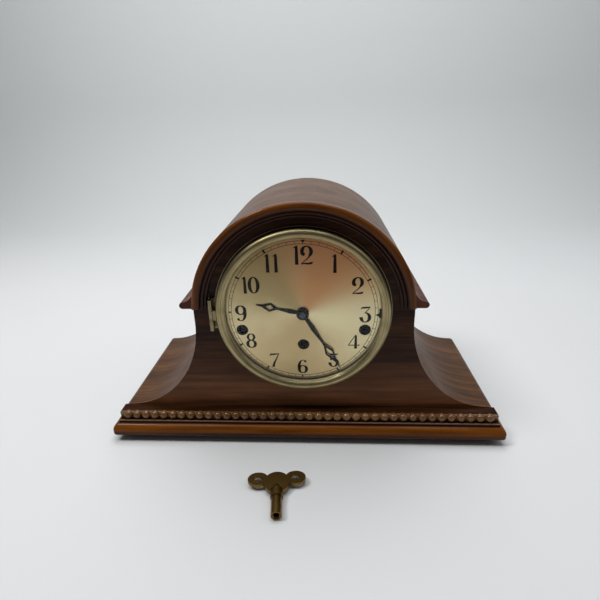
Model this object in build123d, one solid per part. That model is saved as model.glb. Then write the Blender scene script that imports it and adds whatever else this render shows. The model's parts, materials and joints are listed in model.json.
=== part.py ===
from build123d import *
import math
import os
from dataclasses import dataclass

# A tambour shelf clock with its winding key. Millimetres, +Z up, the dial faces -Y.
# The origin is on the table, under the centre of the base board.

# Base board and feet
BASE_WIDTH = 380.0
BASE_DEPTH = 168.0
PLINTH_HEIGHT = 2.0
PLINTH_INSET = 7.0
NOSE_HEIGHT = 12.5
NOSE_TOP_RADIUS = 6.5
NOSE_BOTTOM_RADIUS = 3.0
BASE_CORNER_RADIUS = 3.0
BASE_STEP_HEIGHT = 2.5
BASE_STEP_INSET = 6.0
FOOT_HEIGHT = 4.0
FOOT_RADIUS = 13.0
FOOT_INSET_X = 23.5
FOOT_INSET_Y = 21.0
FOOT_EDGE_RADIUS = 1.5

# Bead moulding along the front
BEAD_RADIUS = 4.0
BEAD_PITCH = 9.0
BEAD_BAR_HEIGHT = 6.5
BEAD_FRONT_SETBACK = 6.5

# Case: drum, shoulders and roof
FRONT_SETBACK = 23.5
BACK_SETBACK = 5.5
DRUM_RADIUS = 100.0
DIAL_HEIGHT = 129.7
SHOULDER_TOP_DROP = 9.0
SHOULDER_END_INSET = 12.0
SHOULDER_END_RISE = 7.0
SHOULDER_END_RADIUS = 5.6
SHOULDER_END_RADIUS_LIMIT = 0.8
SHELL_THICKNESS = 6.0
VENEER_THICKNESS = 1.0
PANEL_THICKNESS = 12.0
PANEL_HOLE_RADIUS = 72.5
BACK_BOARD_THICKNESS = 10.0

# Hood moulding and side cornices
HOOD_END_RISE = 6.5
HOOD_CROWN_WIDTH = 7.5
HOOD_CROWN_DEPTH = 8.3
HOOD_CROWN_SPRING = 6.0
HOOD_STEP_WIDTH = 2.8
HOOD_STEP_DEPTHS = (4.6, 2.8)
HOOD_STEP_CROWN = 0.6
CORNICE_WIDTH = 10.5
CORNICE_HEIGHT = 12.0
CORNICE_NOSE_HEIGHT = 6.0
CORNICE_NOSE_DEPTH = 2.5
CORNICE_COVE = 1.0
CORNICE_LIP = 0.6
CORNICE_FRONT_DEPTH = 5.5

# Back door
DOOR_HALF_WIDTH = 76.0
DOOR_BOTTOM_HEIGHT = 38.0
DOOR_THICKNESS = 4.0
DOOR_LAP = 6.0
DOOR_GAP = 0.3
DOOR_KNOB_RADIUS = 4.0
DOOR_KNOB_NECK_RADIUS = 2.0
DOOR_KNOB_NECK_LENGTH = 2.0
DOOR_KNOB_HEAD_LENGTH = 3.0
DOOR_KNOB_INSET = 10.0
DOOR_HINGE_SPREAD = 56.0
DOOR_HINGE_LENGTH = 24.0
DOOR_KNUCKLE_RADIUS = 2.2
DOOR_PIN_RADIUS = 1.0
DOOR_LEAF_WIDTH = 10.0
LEAF_THICKNESS = 0.8
KNUCKLE_GAP = 0.3

# Bezel, glass and dial
SEAT_RADIUS = 80.0
SEAT_INNER_RADIUS = 71.0
SEAT_THICKNESS = 1.2
BEZEL_RADIUS = 78.0
BEZEL_SIGHT_RADIUS = 70.0
BEZEL_WALL = 1.0
BEZEL_HEIGHT = 7.4
BEZEL_CROWN = 2.6
BEZEL_GAP = 0.3
GLASS_RADIUS = 74.0
GLASS_THICKNESS = 2.0
GLASS_RISE = 8.0
BEZEL_HINGE_OFFSET = 4.5
BEZEL_HINGE_REACH = 5.5
BEZEL_HINGE_LENGTH = 30.0
BEZEL_KNUCKLE_RADIUS = 2.0
BEZEL_PIN_RADIUS = 0.9
DIAL_RADIUS = 75.5
DIAL_THICKNESS = 0.8
WINDING_HOLE_RADIUS = 5.4
CENTRE_HOLE_RADIUS = 4.4
DIAL_FOOT_RADIUS = 2.0
DIAL_FOOT_SPREAD = 100.0
DIAL_FOOT_RISE = 38.0
DIAL_FOOT_DROP = 60.0
LEVER_RADIUS = 69.0
LEVER_LENGTH = 8.8
LEVER_WIDTH = 2.0
LEVER_THICKNESS = 0.7
LEVER_TRAVEL = 3.5
LEVER_STEM_WIDTH = 1.0
LEVER_ARM_LENGTH = 12.0
RUNNING_CLEARANCE = 0.05

# Hands and the time that they show
SHOWN_HOUR = 9.0
SHOWN_MINUTE = 24.7
HAND_THICKNESS = 0.6
MINUTE_HAND_LENGTH = 65.0
HOUR_HAND_LENGTH = 42.5
HAND_HUB_RADIUS = 5.6
HAND_BAR_HALF_WIDTH = 1.9
HAND_NECK_HALF_WIDTH = 0.8
HAND_KITE_HALF_WIDTH = 4.2
HAND_RIM = 1.5
HAND_TIP_HALF_WIDTH = 0.3
HAND_SWELL_SHARE = 0.26
HAND_NECK_SHARE = 0.5
HAND_KITE_LOW_SHARE = 0.56
HAND_KITE_WIDE_SHARE = 0.70
HAND_KITE_HIGH_SHARE = 0.88
HAND_NUT_RADIUS = 4.2
HAND_NUT_HEIGHT = 2.4
HOUR_HAND_LIFT = 1.2
MINUTE_HAND_LIFT = 2.4

# Winding arbors, measured from the dial centre
SIDE_ARBOR_OFFSET = 56.0
SIDE_ARBOR_DROP = 16.5
TIME_ARBOR_DROP = 31.5
ARBOR_SQUARE = 4.2
ARBOR_RADIUS = 3.0
ARBOR_PIVOT_RADIUS = 2.4
ARBOR_RECESS = 4.0
RATCHET_RADIUS = 11.0
RATCHET_TEETH = 20
RATCHET_TOOTH = 1.6
RATCHET_UNDERCUT = 1.0
RATCHET_THICKNESS = 1.8
CLICK_PIVOT_REACH = 18.0
CLICK_PIVOT_ANGLE = 62.0
CLICK_TIP_ANGLE = 30.0
CLICK_GAP = 0.4
CLICK_HUB_RADIUS = 3.0
CLICK_TIP_HALF_WIDTH = 1.0
CLICK_STUD_RADIUS = 1.2

# Movement plates
POST_LENGTH = 10.0
POST_RADIUS = 4.0
PLATE_THICKNESS = 2.0
PLATE_SPACING = 42.0
PLATE_HALF_WIDTH = 77.0
PLATE_BOTTOM_DROP = 70.0
PLATE_TOP_RISE = 53.0
PLATE_CORNER_INSET = 7.0
PILLAR_RADIUS = 3.5
PLATE_NUT_RADIUS = 4.5
PLATE_NUT_HEIGHT = 3.0

# Wheel work
PRESSURE_ANGLE = 27.0
ADDENDUM = 0.7
DEDENDUM = 1.0
BACKLASH = 0.08
GREAT_MODULE = 0.8
FINE_MODULE = 0.5
CANNON_MODULE = 0.6
HOUR_WHEEL_COUNT = 40
HOUR_LEAF_COUNT = 10
STAFF_RADIUS = 1.2
PIVOT_RADIUS = 0.8
END_SHAKE = 0.2
WHEEL_THICKNESS = 1.6
PINION_LENGTH = 4.0
WHEEL_HOLES = 5
WHEEL_HUB_SHARE = 0.3
WHEEL_RIM_SHARE = 0.84
BARREL_RADIUS = 22.5
BARREL_LENGTH = 20.0
BARREL_WALL = 1.0
SPRING_GAP = 0.5
SPRING_CORE_RADIUS = 9.0
LAYER_BARREL = 1.5
LAYER_SECOND = 29.0
LAYER_CENTRE = 35.0
LAYER_THIRD = 11.0
LAYER_ESCAPE = 18.0
LAYER_FLY = 12.0
FLY_LENGTH = 12.0
FLY_HALF_SPAN = 9.0
FLY_THICKNESS = 0.8
MOTION_GAP = 3.4
PIPE_RADIUS = 3.2
PIPE_BORE_RADIUS = 2.5
SECOND_ANGLE = 75.0
FLY_ANGLE = 100.0
MINUTE_WHEEL_ANGLE = 30.0
THIRD_OFFSET = 18.0

# Escapement and pendulum
ESCAPE_TEETH = 50
ESCAPE_RADIUS = 11.0
ESCAPE_TOOTH = 2.0
VERGE_RISE = 15.0
PALLET_CLEARANCE = 1.4
PALLET_THICKNESS = 2.0
PALLET_HALF_ANGLE = 50.0
CRUTCH_GAP = 0.8
COCK_HALF_WIDTH = 9.0
COCK_STANDOFF = 4.5
COCK_THICKNESS = 2.0
COCK_DROP = 8.0
COCK_RISE = 15.0
COCK_FOOT_HEIGHT = 5.0
SUSPENSION_BLOCK_HALF_WIDTH = 4.0
SUSPENSION_BLOCK_HEIGHT = 5.0
SUSPENSION_SPRING_THICKNESS = 0.2
SUSPENSION_SPRING_LENGTH = 18.0
SUSPENSION_WIDTH = 5.0
CRUTCH_THICKNESS = 1.5
CRUTCH_LENGTH = 26.0
CRUTCH_HALF_WIDTH = 2.0
FORK_CLEARANCE = 0.25
FORK_PRONG = 1.2
FORK_HEIGHT = 4.0
PENDULUM_ROD_RADIUS = 1.2
PENDULUM_HEAD_HALF_WIDTH = 2.5
PENDULUM_HEAD_HEIGHT = 6.0
BOB_RADIUS = 15.0
BOB_EDGE_THICKNESS = 3.0
BOB_THICKNESS = 9.0
RATING_NUT_RADIUS = 3.5
RATING_NUT_HEIGHT = 3.0
PENDULUM_GROUND_GAP = 16.2

# Chime drum, hammers and rods
HAMMER_COUNT = 4
HAMMER_SPACES = 7.5
HAMMER_FILL = 0.5
HAMMER_SHAFT_RADIUS = 2.0
HAMMER_HUB_RADIUS = 4.5
HAMMER_ARM_WIDTH = 2.4
HAMMER_TAIL_LENGTH = 8.0
HAMMER_HEAD_FILL = 0.85
HAMMER_HEAD_HEIGHT = 13.0
HAMMER_REACH_SHARE = 0.2726
HAMMER_SHAFT_OFFSET = 8.0
HAMMER_SHAFT_DROP = 18.0
HAMMER_ROD_GAP = 0.4
DRUM_ANGLE = -97.0
CHIME_DRUM_RADIUS = 8.0
CHIME_PIN_RADIUS = 0.7
CHIME_PIN_HEIGHT = 1.5
CHIME_PINS_PER_ROW = 5
BRIDGE_THICKNESS = 2.0
BRIDGE_RADIUS = 6.0
BRIDGE_SPACES = 0.75
ROD_RADIUS = 2.0
ROD_HEIGHT_ABOVE_BASE = 10.0
ROD_LONGEST = 200.0
ROD_STEP = 12.0
ROD_BLOCK_LENGTH = 18.0
ROD_BLOCK_HEIGHT = 16.0
ROD_BLOCK_SPACES = 0.875
ROD_BLOCK_BEYOND_HEAD = 10.0

# Winding key, lying in front of the clock
KEY_X = -19.0
KEY_SOCKET_Y_GAP = 86.0
KEY_TURN = 5.0
KEY_BARREL_RADIUS = 4.5
KEY_BARREL_LENGTH = 17.0
KEY_COLLAR_RADIUS = 5.3
KEY_COLLAR_LENGTH = 8.0
KEY_TAPER_RADIUS = 2.0
KEY_TAPER_LENGTH = 5.0
KEY_SOCKET_DEPTH = 15.0
KEY_SOCKET_CLEARANCE = 0.2
KEY_MOUTH_RADIUS = 3.6
KEY_MOUTH_DEPTH = 1.2
KEY_BOW_THICKNESS = 3.0
KEY_SHIELD_RADIUS = 11.0
KEY_SHIELD_REACH = 7.7
KEY_RING_SPREAD = 16.2
KEY_RING_REACH = 11.9
KEY_RING_HALF_WIDTH = 8.8
KEY_RING_HALF_HEIGHT = 6.9
KEY_HOLE_HALF_WIDTH = 3.9
KEY_HOLE_HALF_HEIGHT = 3.1

# Heights and planes that follow from the sizes above
NOSE_BOTTOM = FOOT_HEIGHT + PLINTH_HEIGHT
BASE_TOP = NOSE_BOTTOM + NOSE_HEIGHT + BASE_STEP_HEIGHT
FRONT_Y = FRONT_SETBACK - BASE_DEPTH / 2
CORE_Y = FRONT_Y + VENEER_THICKNESS
PANEL_BACK_Y = CORE_Y + PANEL_THICKNESS
CASE_BACK_Y = BASE_DEPTH / 2 - BACK_SETBACK
HOOD_END_HEIGHT = DIAL_HEIGHT + HOOD_END_RISE
SHOULDER_TOP_HEIGHT = DIAL_HEIGHT - SHOULDER_TOP_DROP
SHOULDER_END_X = BASE_WIDTH / 2 - SHOULDER_END_INSET
SHOULDER_END_HEIGHT = BASE_TOP + SHOULDER_END_RISE
SHOULDER_NOSE_RADIUS = min(SHOULDER_END_RADIUS, SHOULDER_END_RADIUS_LIMIT * SHOULDER_END_RISE)
CASE_END_X = SHOULDER_END_X + SHOULDER_NOSE_RADIUS
SEAT_Y = FRONT_Y - SEAT_THICKNESS
DIAL_Y = SEAT_Y - DIAL_THICKNESS
BEZEL_BACK_Y = SEAT_Y - BEZEL_GAP
BEZEL_FRONT_Y = BEZEL_BACK_Y - BEZEL_HEIGHT
GLASS_EDGE_Y = BEZEL_FRONT_Y + BEZEL_CROWN
HOUR_HAND_Y = DIAL_Y - HOUR_HAND_LIFT
MINUTE_HAND_Y = DIAL_Y - MINUTE_HAND_LIFT
PLATE_FRONT_Y = PANEL_BACK_Y + POST_LENGTH
PLATE_INNER_Y = PLATE_FRONT_Y + PLATE_THICKNESS
BACK_PLATE_Y = PLATE_INNER_Y + PLATE_SPACING
PLATE_REAR_Y = BACK_PLATE_Y + PLATE_THICKNESS
PLATE_BOTTOM = DIAL_HEIGHT - PLATE_BOTTOM_DROP
PLATE_TOP = DIAL_HEIGHT + PLATE_TOP_RISE
ROD_HEIGHT = BASE_TOP + ROD_HEIGHT_ABOVE_BASE
HAMMER_PITCH = (CASE_BACK_Y - BACK_BOARD_THICKNESS - PLATE_REAR_Y) / HAMMER_SPACES
HAMMER_THICKNESS = HAMMER_FILL * HAMMER_PITCH
HAMMER_HEAD_RADIUS = HAMMER_HEAD_FILL * HAMMER_PITCH / 2
HAMMER_FIRST_Y = PLATE_REAR_Y + HAMMER_PITCH
HAMMER_LAST_Y = HAMMER_FIRST_Y + (HAMMER_COUNT - 1) * HAMMER_PITCH
BRIDGE_Y = HAMMER_LAST_Y + BRIDGE_SPACES * HAMMER_PITCH
SHAFT_HOLE_RADIUS = PIVOT_RADIUS + RUNNING_CLEARANCE


@dataclass(frozen=True)
class Mesh:
    """A wheel driving a pinion, with the module that sets their distance."""

    wheel: int
    pinion: int
    module: float

    @property
    def distance(self):
        return self.module * (self.wheel + self.pinion) / 2


GREAT_MESH = Mesh(wheel=66, pinion=10, module=GREAT_MODULE)
SECOND_MESH = Mesh(wheel=60, pinion=10, module=GREAT_MODULE)
SIDE_MESH = Mesh(wheel=60, pinion=10, module=GREAT_MODULE)
CENTRE_MESH = Mesh(wheel=88, pinion=8, module=FINE_MODULE)
THIRD_MESH = Mesh(wheel=80, pinion=8, module=FINE_MODULE)
FLY_MESH = Mesh(wheel=60, pinion=8, module=FINE_MODULE)
CANNON_MESH = Mesh(wheel=42, pinion=14, module=CANNON_MODULE)
HOUR_MODULE = 2 * CANNON_MESH.distance / (HOUR_WHEEL_COUNT + HOUR_LEAF_COUNT)
HOUR_MESH = Mesh(wheel=HOUR_WHEEL_COUNT, pinion=HOUR_LEAF_COUNT, module=HOUR_MODULE)


def polar(centre, radius, degrees):
    """The point at a radius and an angle from a centre, seen from the front."""
    angle = math.radians(degrees)
    return centre[0] + radius * math.cos(angle), centre[1] + radius * math.sin(angle)


def between(first, first_distance, second, second_distance):
    """The point at given distances from two others, on the right of the line from first to second."""
    run = (second[0] - first[0], second[1] - first[1])
    span = math.hypot(*run)
    along = (span**2 + first_distance**2 - second_distance**2) / (2 * span)
    aside = math.sqrt(first_distance**2 - along**2)
    unit = (run[0] / span, run[1] / span)
    return first[0] + along * unit[0] + aside * unit[1], first[1] + along * unit[1] - aside * unit[0]


# Places of the turning pieces, as x and z
CENTRE = (0.0, DIAL_HEIGHT)
TIME_ARBOR = (0.0, DIAL_HEIGHT - TIME_ARBOR_DROP)
STRIKE_ARBOR = (-SIDE_ARBOR_OFFSET, DIAL_HEIGHT - SIDE_ARBOR_DROP)
CHIME_ARBOR = (SIDE_ARBOR_OFFSET, DIAL_HEIGHT - SIDE_ARBOR_DROP)
SECOND_PLACE = between(TIME_ARBOR, GREAT_MESH.distance, CENTRE, SECOND_MESH.distance)
THIRD_PLACE = (-THIRD_OFFSET, DIAL_HEIGHT + math.sqrt(CENTRE_MESH.distance**2 - THIRD_OFFSET**2))
ESCAPE_PLACE = (0.0, THIRD_PLACE[1] + math.sqrt(THIRD_MESH.distance**2 - THIRD_OFFSET**2))
VERGE_PLACE = (0.0, ESCAPE_PLACE[1] + VERGE_RISE)
MINUTE_PLACE = polar(CENTRE, CANNON_MESH.distance, MINUTE_WHEEL_ANGLE)
STRIKE_SECOND_PLACE = polar(STRIKE_ARBOR, SIDE_MESH.distance, SECOND_ANGLE)
STRIKE_FLY_PLACE = polar(STRIKE_SECOND_PLACE, FLY_MESH.distance, FLY_ANGLE)
CHIME_SECOND_PLACE = polar(CHIME_ARBOR, SIDE_MESH.distance, 180 - SECOND_ANGLE)
CHIME_FLY_PLACE = polar(CHIME_SECOND_PLACE, FLY_MESH.distance, 180 - FLY_ANGLE)
DRUM_PLACE = polar(CHIME_ARBOR, SIDE_MESH.distance, DRUM_ANGLE)
HAMMER_PLACE = (DRUM_PLACE[0] + HAMMER_SHAFT_OFFSET, DRUM_PLACE[1] - HAMMER_SHAFT_DROP)
HAMMER_REACH = HAMMER_REACH_SHARE * (SHOULDER_END_X - HAMMER_PLACE[0])
WINDING_PLACES = (TIME_ARBOR, STRIKE_ARBOR, CHIME_ARBOR)
STAFF_PLACES = (
    SECOND_PLACE, CENTRE, THIRD_PLACE, ESCAPE_PLACE, VERGE_PLACE, STRIKE_SECOND_PLACE, STRIKE_FLY_PLACE,
    CHIME_SECOND_PLACE, CHIME_FLY_PLACE, DRUM_PLACE,
)


def rod(place, radius, start_y, end_y):
    """A round bar along Y at a place in the front view."""
    bar = Cylinder(radius, abs(end_y - start_y))
    return Pos(place[0], (start_y + end_y) / 2, place[1]) * Rot(90, 0, 0) * bar


def block(x_range, y_range, z_range):
    """A box between two corners."""
    sizes = [high - low for low, high in (x_range, y_range, z_range)]
    middle = [(low + high) / 2 for low, high in (x_range, y_range, z_range)]
    return Pos(*middle) * Box(*sizes)


def slab(face, start_y, end_y):
    """A front-view face made solid from one depth to another."""
    return extrude(Plane.XZ.offset(-start_y) * face, amount=start_y - end_y)


def polygon(points):
    """A front-view face with straight sides."""
    return make_face(Polyline(*points, close=True))


def turned(edges, place):
    """A solid turned about the Y line through a place, from edges given as radius and depth."""
    return Pos(place[0], 0, place[1]) * revolve(make_face(edges), Axis.Y)


def group(solids):
    """Separate solids that share one node."""
    return Compound([solid for shape in solids for solid in shape.solids()])


def involute(angle):
    return math.tan(angle) - angle


def gear_face(teeth, module, place, phase, straight_flanks):
    """A gear's outline, with one tooth centred at the phase angle (radians, seen from the front)."""
    pitch = module * teeth / 2
    base = pitch * math.cos(math.radians(PRESSURE_ANGLE))
    root = pitch - DEDENDUM * module
    tip = pitch + ADDENDUM * module
    half = math.pi / (2 * teeth) - BACKLASH / (2 * pitch) + involute(math.radians(PRESSURE_ANGLE))
    radii = [root, tip] if straight_flanks else [root, max(base, root + module / 10), pitch, tip]
    points = []
    for tooth in range(teeth):
        middle = phase + 2 * math.pi * tooth / teeth
        flank = [(radius, half - involute(math.acos(min(1, base / radius)))) for radius in radii]
        outline = [(radius, middle - angle) for radius, angle in flank]
        outline += [(radius, middle + angle) for radius, angle in reversed(flank)]
        points += [polar(place, radius, math.degrees(angle)) for radius, angle in outline]
    return polygon(points)


def mesh_phase(driver, driver_teeth, driver_phase, driven, driven_teeth):
    """The phase that sets a gear's gap on the tooth of the gear that it meets."""
    line = math.atan2(driven[1] - driver[1], driven[0] - driver[0])
    return line + math.pi + math.pi / driven_teeth - (driver_phase - line) * driver_teeth / driven_teeth


def wheel(teeth, module, place, start_y, phase=0.0):
    """A thin wheel with round openings between hub and rim."""
    radius = teeth * module / 2
    disc = slab(gear_face(teeth, module, place, phase, True), start_y, start_y + WHEEL_THICKNESS)
    opening_radius = radius * (WHEEL_RIM_SHARE - WHEEL_HUB_SHARE) / 2
    opening_reach = radius * (WHEEL_RIM_SHARE + WHEEL_HUB_SHARE) / 2
    places = [polar(place, opening_reach, 360 * index / WHEEL_HOLES) for index in range(WHEEL_HOLES)]
    return disc - [rod(hole, opening_radius, start_y, start_y + WHEEL_THICKNESS) for hole in places]


def pinion(leaves, module, place, wheel_y, phase):
    """A pinion centred on the wheel layer that drives it."""
    middle = wheel_y + WHEEL_THICKNESS / 2
    face = gear_face(leaves, module, place, phase, False)
    return slab(face, middle - PINION_LENGTH / 2, middle + PINION_LENGTH / 2)


def staff(place):
    """An arbor between the plates, with a pivot at each end."""
    body = rod(place, STAFF_RADIUS, PLATE_INNER_Y + END_SHAKE, BACK_PLATE_Y - END_SHAKE)
    return body + rod(place, PIVOT_RADIUS, PLATE_FRONT_Y, PLATE_REAR_Y)


def layer(offset):
    """The depth of a wheel layer, counted from inside the front plate."""
    return PLATE_INNER_Y + offset


GREAT_Y = layer(LAYER_BARREL + BARREL_LENGTH)
SECOND_Y = layer(LAYER_SECOND)
CENTRE_Y = layer(LAYER_CENTRE)
THIRD_Y = layer(LAYER_THIRD)
ESCAPE_Y = layer(LAYER_ESCAPE)
CANNON_Y = PLATE_FRONT_Y - MOTION_GAP - PINION_LENGTH
HOUR_WHEEL_Y = CANNON_Y - PINION_LENGTH - END_SHAKE


def case_outline(inset):
    """The front view of the case above the base board, drawn in by an inset."""
    radius = DRUM_RADIUS - inset
    across = SHOULDER_END_X - radius
    down = SHOULDER_TOP_HEIGHT - SHOULDER_END_HEIGHT + inset
    sweep_centre = (SHOULDER_END_X, SHOULDER_TOP_HEIGHT)
    drop = SHOULDER_TOP_HEIGHT - BASE_TOP
    sweep_degrees = math.degrees(math.asin(min(1, drop / down)))
    side = [Line((radius, DIAL_HEIGHT), (radius, SHOULDER_TOP_HEIGHT))]
    side.append(EllipticalCenterArc(sweep_centre, across, down, 180, arc_size=sweep_degrees))
    sweep_reach = across * math.cos(math.radians(sweep_degrees))
    end = (SHOULDER_END_X - sweep_reach, SHOULDER_TOP_HEIGHT - min(down, drop))
    if not inset:
        end_centre = (SHOULDER_END_X, SHOULDER_END_HEIGHT - SHOULDER_NOSE_RADIUS)
        side.append(CenterArc(end_centre, SHOULDER_NOSE_RADIUS, 90, -90))
        end = (CASE_END_X, end_centre[1])
    end_x = end[0]
    if end[1] > BASE_TOP:
        side.append(Line(end, (end_x, BASE_TOP)))
    crown = CenterArc(CENTRE, radius, 0, 180)
    floor = Line((-end_x, BASE_TOP), (end_x, BASE_TOP))
    return make_face([crown, floor, *side, *[mirror(edge, Plane.YZ) for edge in side]])


def arch_face(half_width, bottom):
    """An upright panel with a round top, centred on the dial."""
    head = CenterArc(CENTRE, half_width, 0, 180)
    left = [(-half_width, DIAL_HEIGHT), (-half_width, bottom)]
    right = [(half_width, bottom), (half_width, DIAL_HEIGHT)]
    return make_face([head, *Polyline(*left, *right).edges()])


def make_feet():
    feet = []
    for x in (FOOT_INSET_X - BASE_WIDTH / 2, BASE_WIDTH / 2 - FOOT_INSET_X):
        for y in (FOOT_INSET_Y - BASE_DEPTH / 2, BASE_DEPTH / 2 - FOOT_INSET_Y):
            foot = Pos(x, y, FOOT_HEIGHT / 2) * Cylinder(FOOT_RADIUS, FOOT_HEIGHT)
            feet.append(fillet(foot.edges().group_by(Axis.Z)[0], FOOT_EDGE_RADIUS))
    return group(feet)


def make_base_board():
    nose = Pos(0, 0, NOSE_BOTTOM + NOSE_HEIGHT / 2) * Box(BASE_WIDTH, BASE_DEPTH, NOSE_HEIGHT)
    nose = fillet(nose.edges().filter_by(Axis.Z), BASE_CORNER_RADIUS)
    nose = fillet(nose.edges().group_by(Axis.Z)[-1], NOSE_TOP_RADIUS)
    nose = fillet(nose.edges().group_by(Axis.Z)[0], NOSE_BOTTOM_RADIUS)
    layers = (
        (PLINTH_INSET, (FOOT_HEIGHT, NOSE_BOTTOM)),
        (BASE_STEP_INSET, (BASE_TOP - BASE_STEP_HEIGHT, BASE_TOP)),
    )
    for inset, z_range in layers:
        half_width = BASE_WIDTH / 2 - inset
        half_depth = BASE_DEPTH / 2 - inset
        nose += block((-half_width, half_width), (-half_depth, half_depth), z_range)
    return nose


def make_bead_moulding():
    bead_y = BEAD_FRONT_SETBACK - BASE_DEPTH / 2 + BEAD_RADIUS
    bar = block((-CASE_END_X, CASE_END_X), (bead_y, FRONT_Y), (BASE_TOP, BASE_TOP + BEAD_BAR_HEIGHT))
    count = int((2 * CASE_END_X - 2 * BEAD_RADIUS) / BEAD_PITCH) + 1
    first_x = -(count - 1) * BEAD_PITCH / 2
    beads = [
        Pos(first_x + index * BEAD_PITCH, bead_y, BASE_TOP + BEAD_RADIUS) * Sphere(BEAD_RADIUS)
        for index in range(count)
    ]
    return bar + beads


def make_front_panel():
    return slab(case_outline(SHELL_THICKNESS), CORE_Y, PANEL_BACK_Y) - rod(
        CENTRE, PANEL_HOLE_RADIUS, CORE_Y, PANEL_BACK_Y
    )


def make_front_veneer():
    return slab(case_outline(0), FRONT_Y, CORE_Y) - rod(CENTRE, PANEL_HOLE_RADIUS, FRONT_Y, CORE_Y)


def make_wrap():
    """The bent roof and the two shoulders, cut apart behind the cornices."""
    whole = slab(case_outline(0) - case_outline(SHELL_THICKNESS), CORE_Y, CASE_BACK_Y)
    top = DIAL_HEIGHT + DRUM_RADIUS
    upper = block((-CASE_END_X, CASE_END_X), (CORE_Y, CASE_BACK_Y), (HOOD_END_HEIGHT, top))
    lower = block((-CASE_END_X, CASE_END_X), (CORE_Y, CASE_BACK_Y), (BASE_TOP, HOOD_END_HEIGHT))
    return whole & upper, group([whole & lower])


def make_hood_moulding():
    crown_inner = DRUM_RADIUS - HOOD_CROWN_WIDTH
    crown_y = FRONT_Y - HOOD_CROWN_SPRING
    crown_middle = ((DRUM_RADIUS + crown_inner) / 2, FRONT_Y - HOOD_CROWN_DEPTH)
    corner = (crown_inner, crown_y)
    edges = [
        Line((DRUM_RADIUS, FRONT_Y), (DRUM_RADIUS, crown_y)),
        ThreePointArc((DRUM_RADIUS, crown_y), crown_middle, corner),
    ]
    for depth in HOOD_STEP_DEPTHS:
        outer = (corner[0], FRONT_Y - depth)
        inner = (corner[0] - HOOD_STEP_WIDTH, FRONT_Y - depth)
        edges.append(Line(corner, outer))
        edges.append(ThreePointArc(outer, ((outer[0] + inner[0]) / 2, outer[1] - HOOD_STEP_CROWN), inner))
        corner = inner
    edges.append(Line(corner, (corner[0], FRONT_Y)))
    edges.append(Line((corner[0], FRONT_Y), (DRUM_RADIUS, FRONT_Y)))
    ring = turned(edges, CENTRE)
    top = DIAL_HEIGHT + DRUM_RADIUS
    kept = block(
        (-DRUM_RADIUS, DRUM_RADIUS), (FRONT_Y - HOOD_CROWN_DEPTH, FRONT_Y), (HOOD_END_HEIGHT, top)
    )
    return ring & kept


def make_side_cornices():
    cornices = []
    front_y = FRONT_Y - CORNICE_FRONT_DEPTH
    inner_x = DRUM_RADIUS - CORNICE_WIDTH
    outer_x = DRUM_RADIUS + CORNICE_WIDTH
    nose_x = outer_x - CORNICE_NOSE_DEPTH
    top_x = math.sqrt(DRUM_RADIUS**2 - (HOOD_END_RISE + CORNICE_HEIGHT) ** 2) + CORNICE_LIP
    for side in (-1, 1):
        heel = (side * inner_x, HOOD_END_HEIGHT)
        nose_low = (side * nose_x, HOOD_END_HEIGHT)
        nose_tip = (side * outer_x, HOOD_END_HEIGHT + CORNICE_NOSE_HEIGHT / 2)
        nose_high = (side * nose_x, HOOD_END_HEIGHT + CORNICE_NOSE_HEIGHT)
        cove = (
            side * ((nose_x + top_x) / 2 - CORNICE_COVE),
            HOOD_END_HEIGHT + (CORNICE_NOSE_HEIGHT + CORNICE_HEIGHT) / 2 - CORNICE_COVE,
        )
        top = (side * top_x, HOOD_END_HEIGHT + CORNICE_HEIGHT)
        shelf = (side * inner_x, HOOD_END_HEIGHT + CORNICE_HEIGHT)
        edges = [
            Line(heel, nose_low),
            ThreePointArc(nose_low, nose_tip, nose_high),
            ThreePointArc(nose_high, cove, top),
            Polyline(top, shelf, heel),
        ]
        bar = slab(make_face(edges), front_y, CASE_BACK_Y)
        cornices.append(bar - rod(CENTRE, DRUM_RADIUS, front_y, CASE_BACK_Y))
    return group(cornices)


def make_back_board():
    start_y = CASE_BACK_Y - BACK_BOARD_THICKNESS
    opening = arch_face(DOOR_HALF_WIDTH - DOOR_LAP, DOOR_BOTTOM_HEIGHT + DOOR_LAP)
    return slab(case_outline(SHELL_THICKNESS), start_y, CASE_BACK_Y) - slab(opening, start_y, CASE_BACK_Y)


DOOR_Y = CASE_BACK_Y + DOOR_GAP
DOOR_REAR_Y = DOOR_Y + DOOR_THICKNESS
DOOR_AXIS_X = DOOR_HALF_WIDTH + DOOR_KNUCKLE_RADIUS + DOOR_GAP
DOOR_AXIS_Y = DOOR_REAR_Y + LEAF_THICKNESS - DOOR_KNUCKLE_RADIUS
DOOR_HINGE_HEIGHTS = (DIAL_HEIGHT - DOOR_HINGE_SPREAD / 2, DIAL_HEIGHT + DOOR_HINGE_SPREAD / 2)


def upright(x, y, radius, low, high):
    """A round upright bar."""
    return Pos(x, y, (low + high) / 2) * Cylinder(radius, high - low)


def knuckle_spans(height, length):
    """The heights of the lower, middle and upper knuckles of a hinge."""
    low, first, second, high = [height + length * share for share in (-1 / 2, -1 / 6, 1 / 6, 1 / 2)]
    return (low, first), (first + KNUCKLE_GAP, second - KNUCKLE_GAP), (second, high)


def make_back_door():
    return slab(arch_face(DOOR_HALF_WIDTH, DOOR_BOTTOM_HEIGHT), DOOR_Y, DOOR_REAR_Y)


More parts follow.
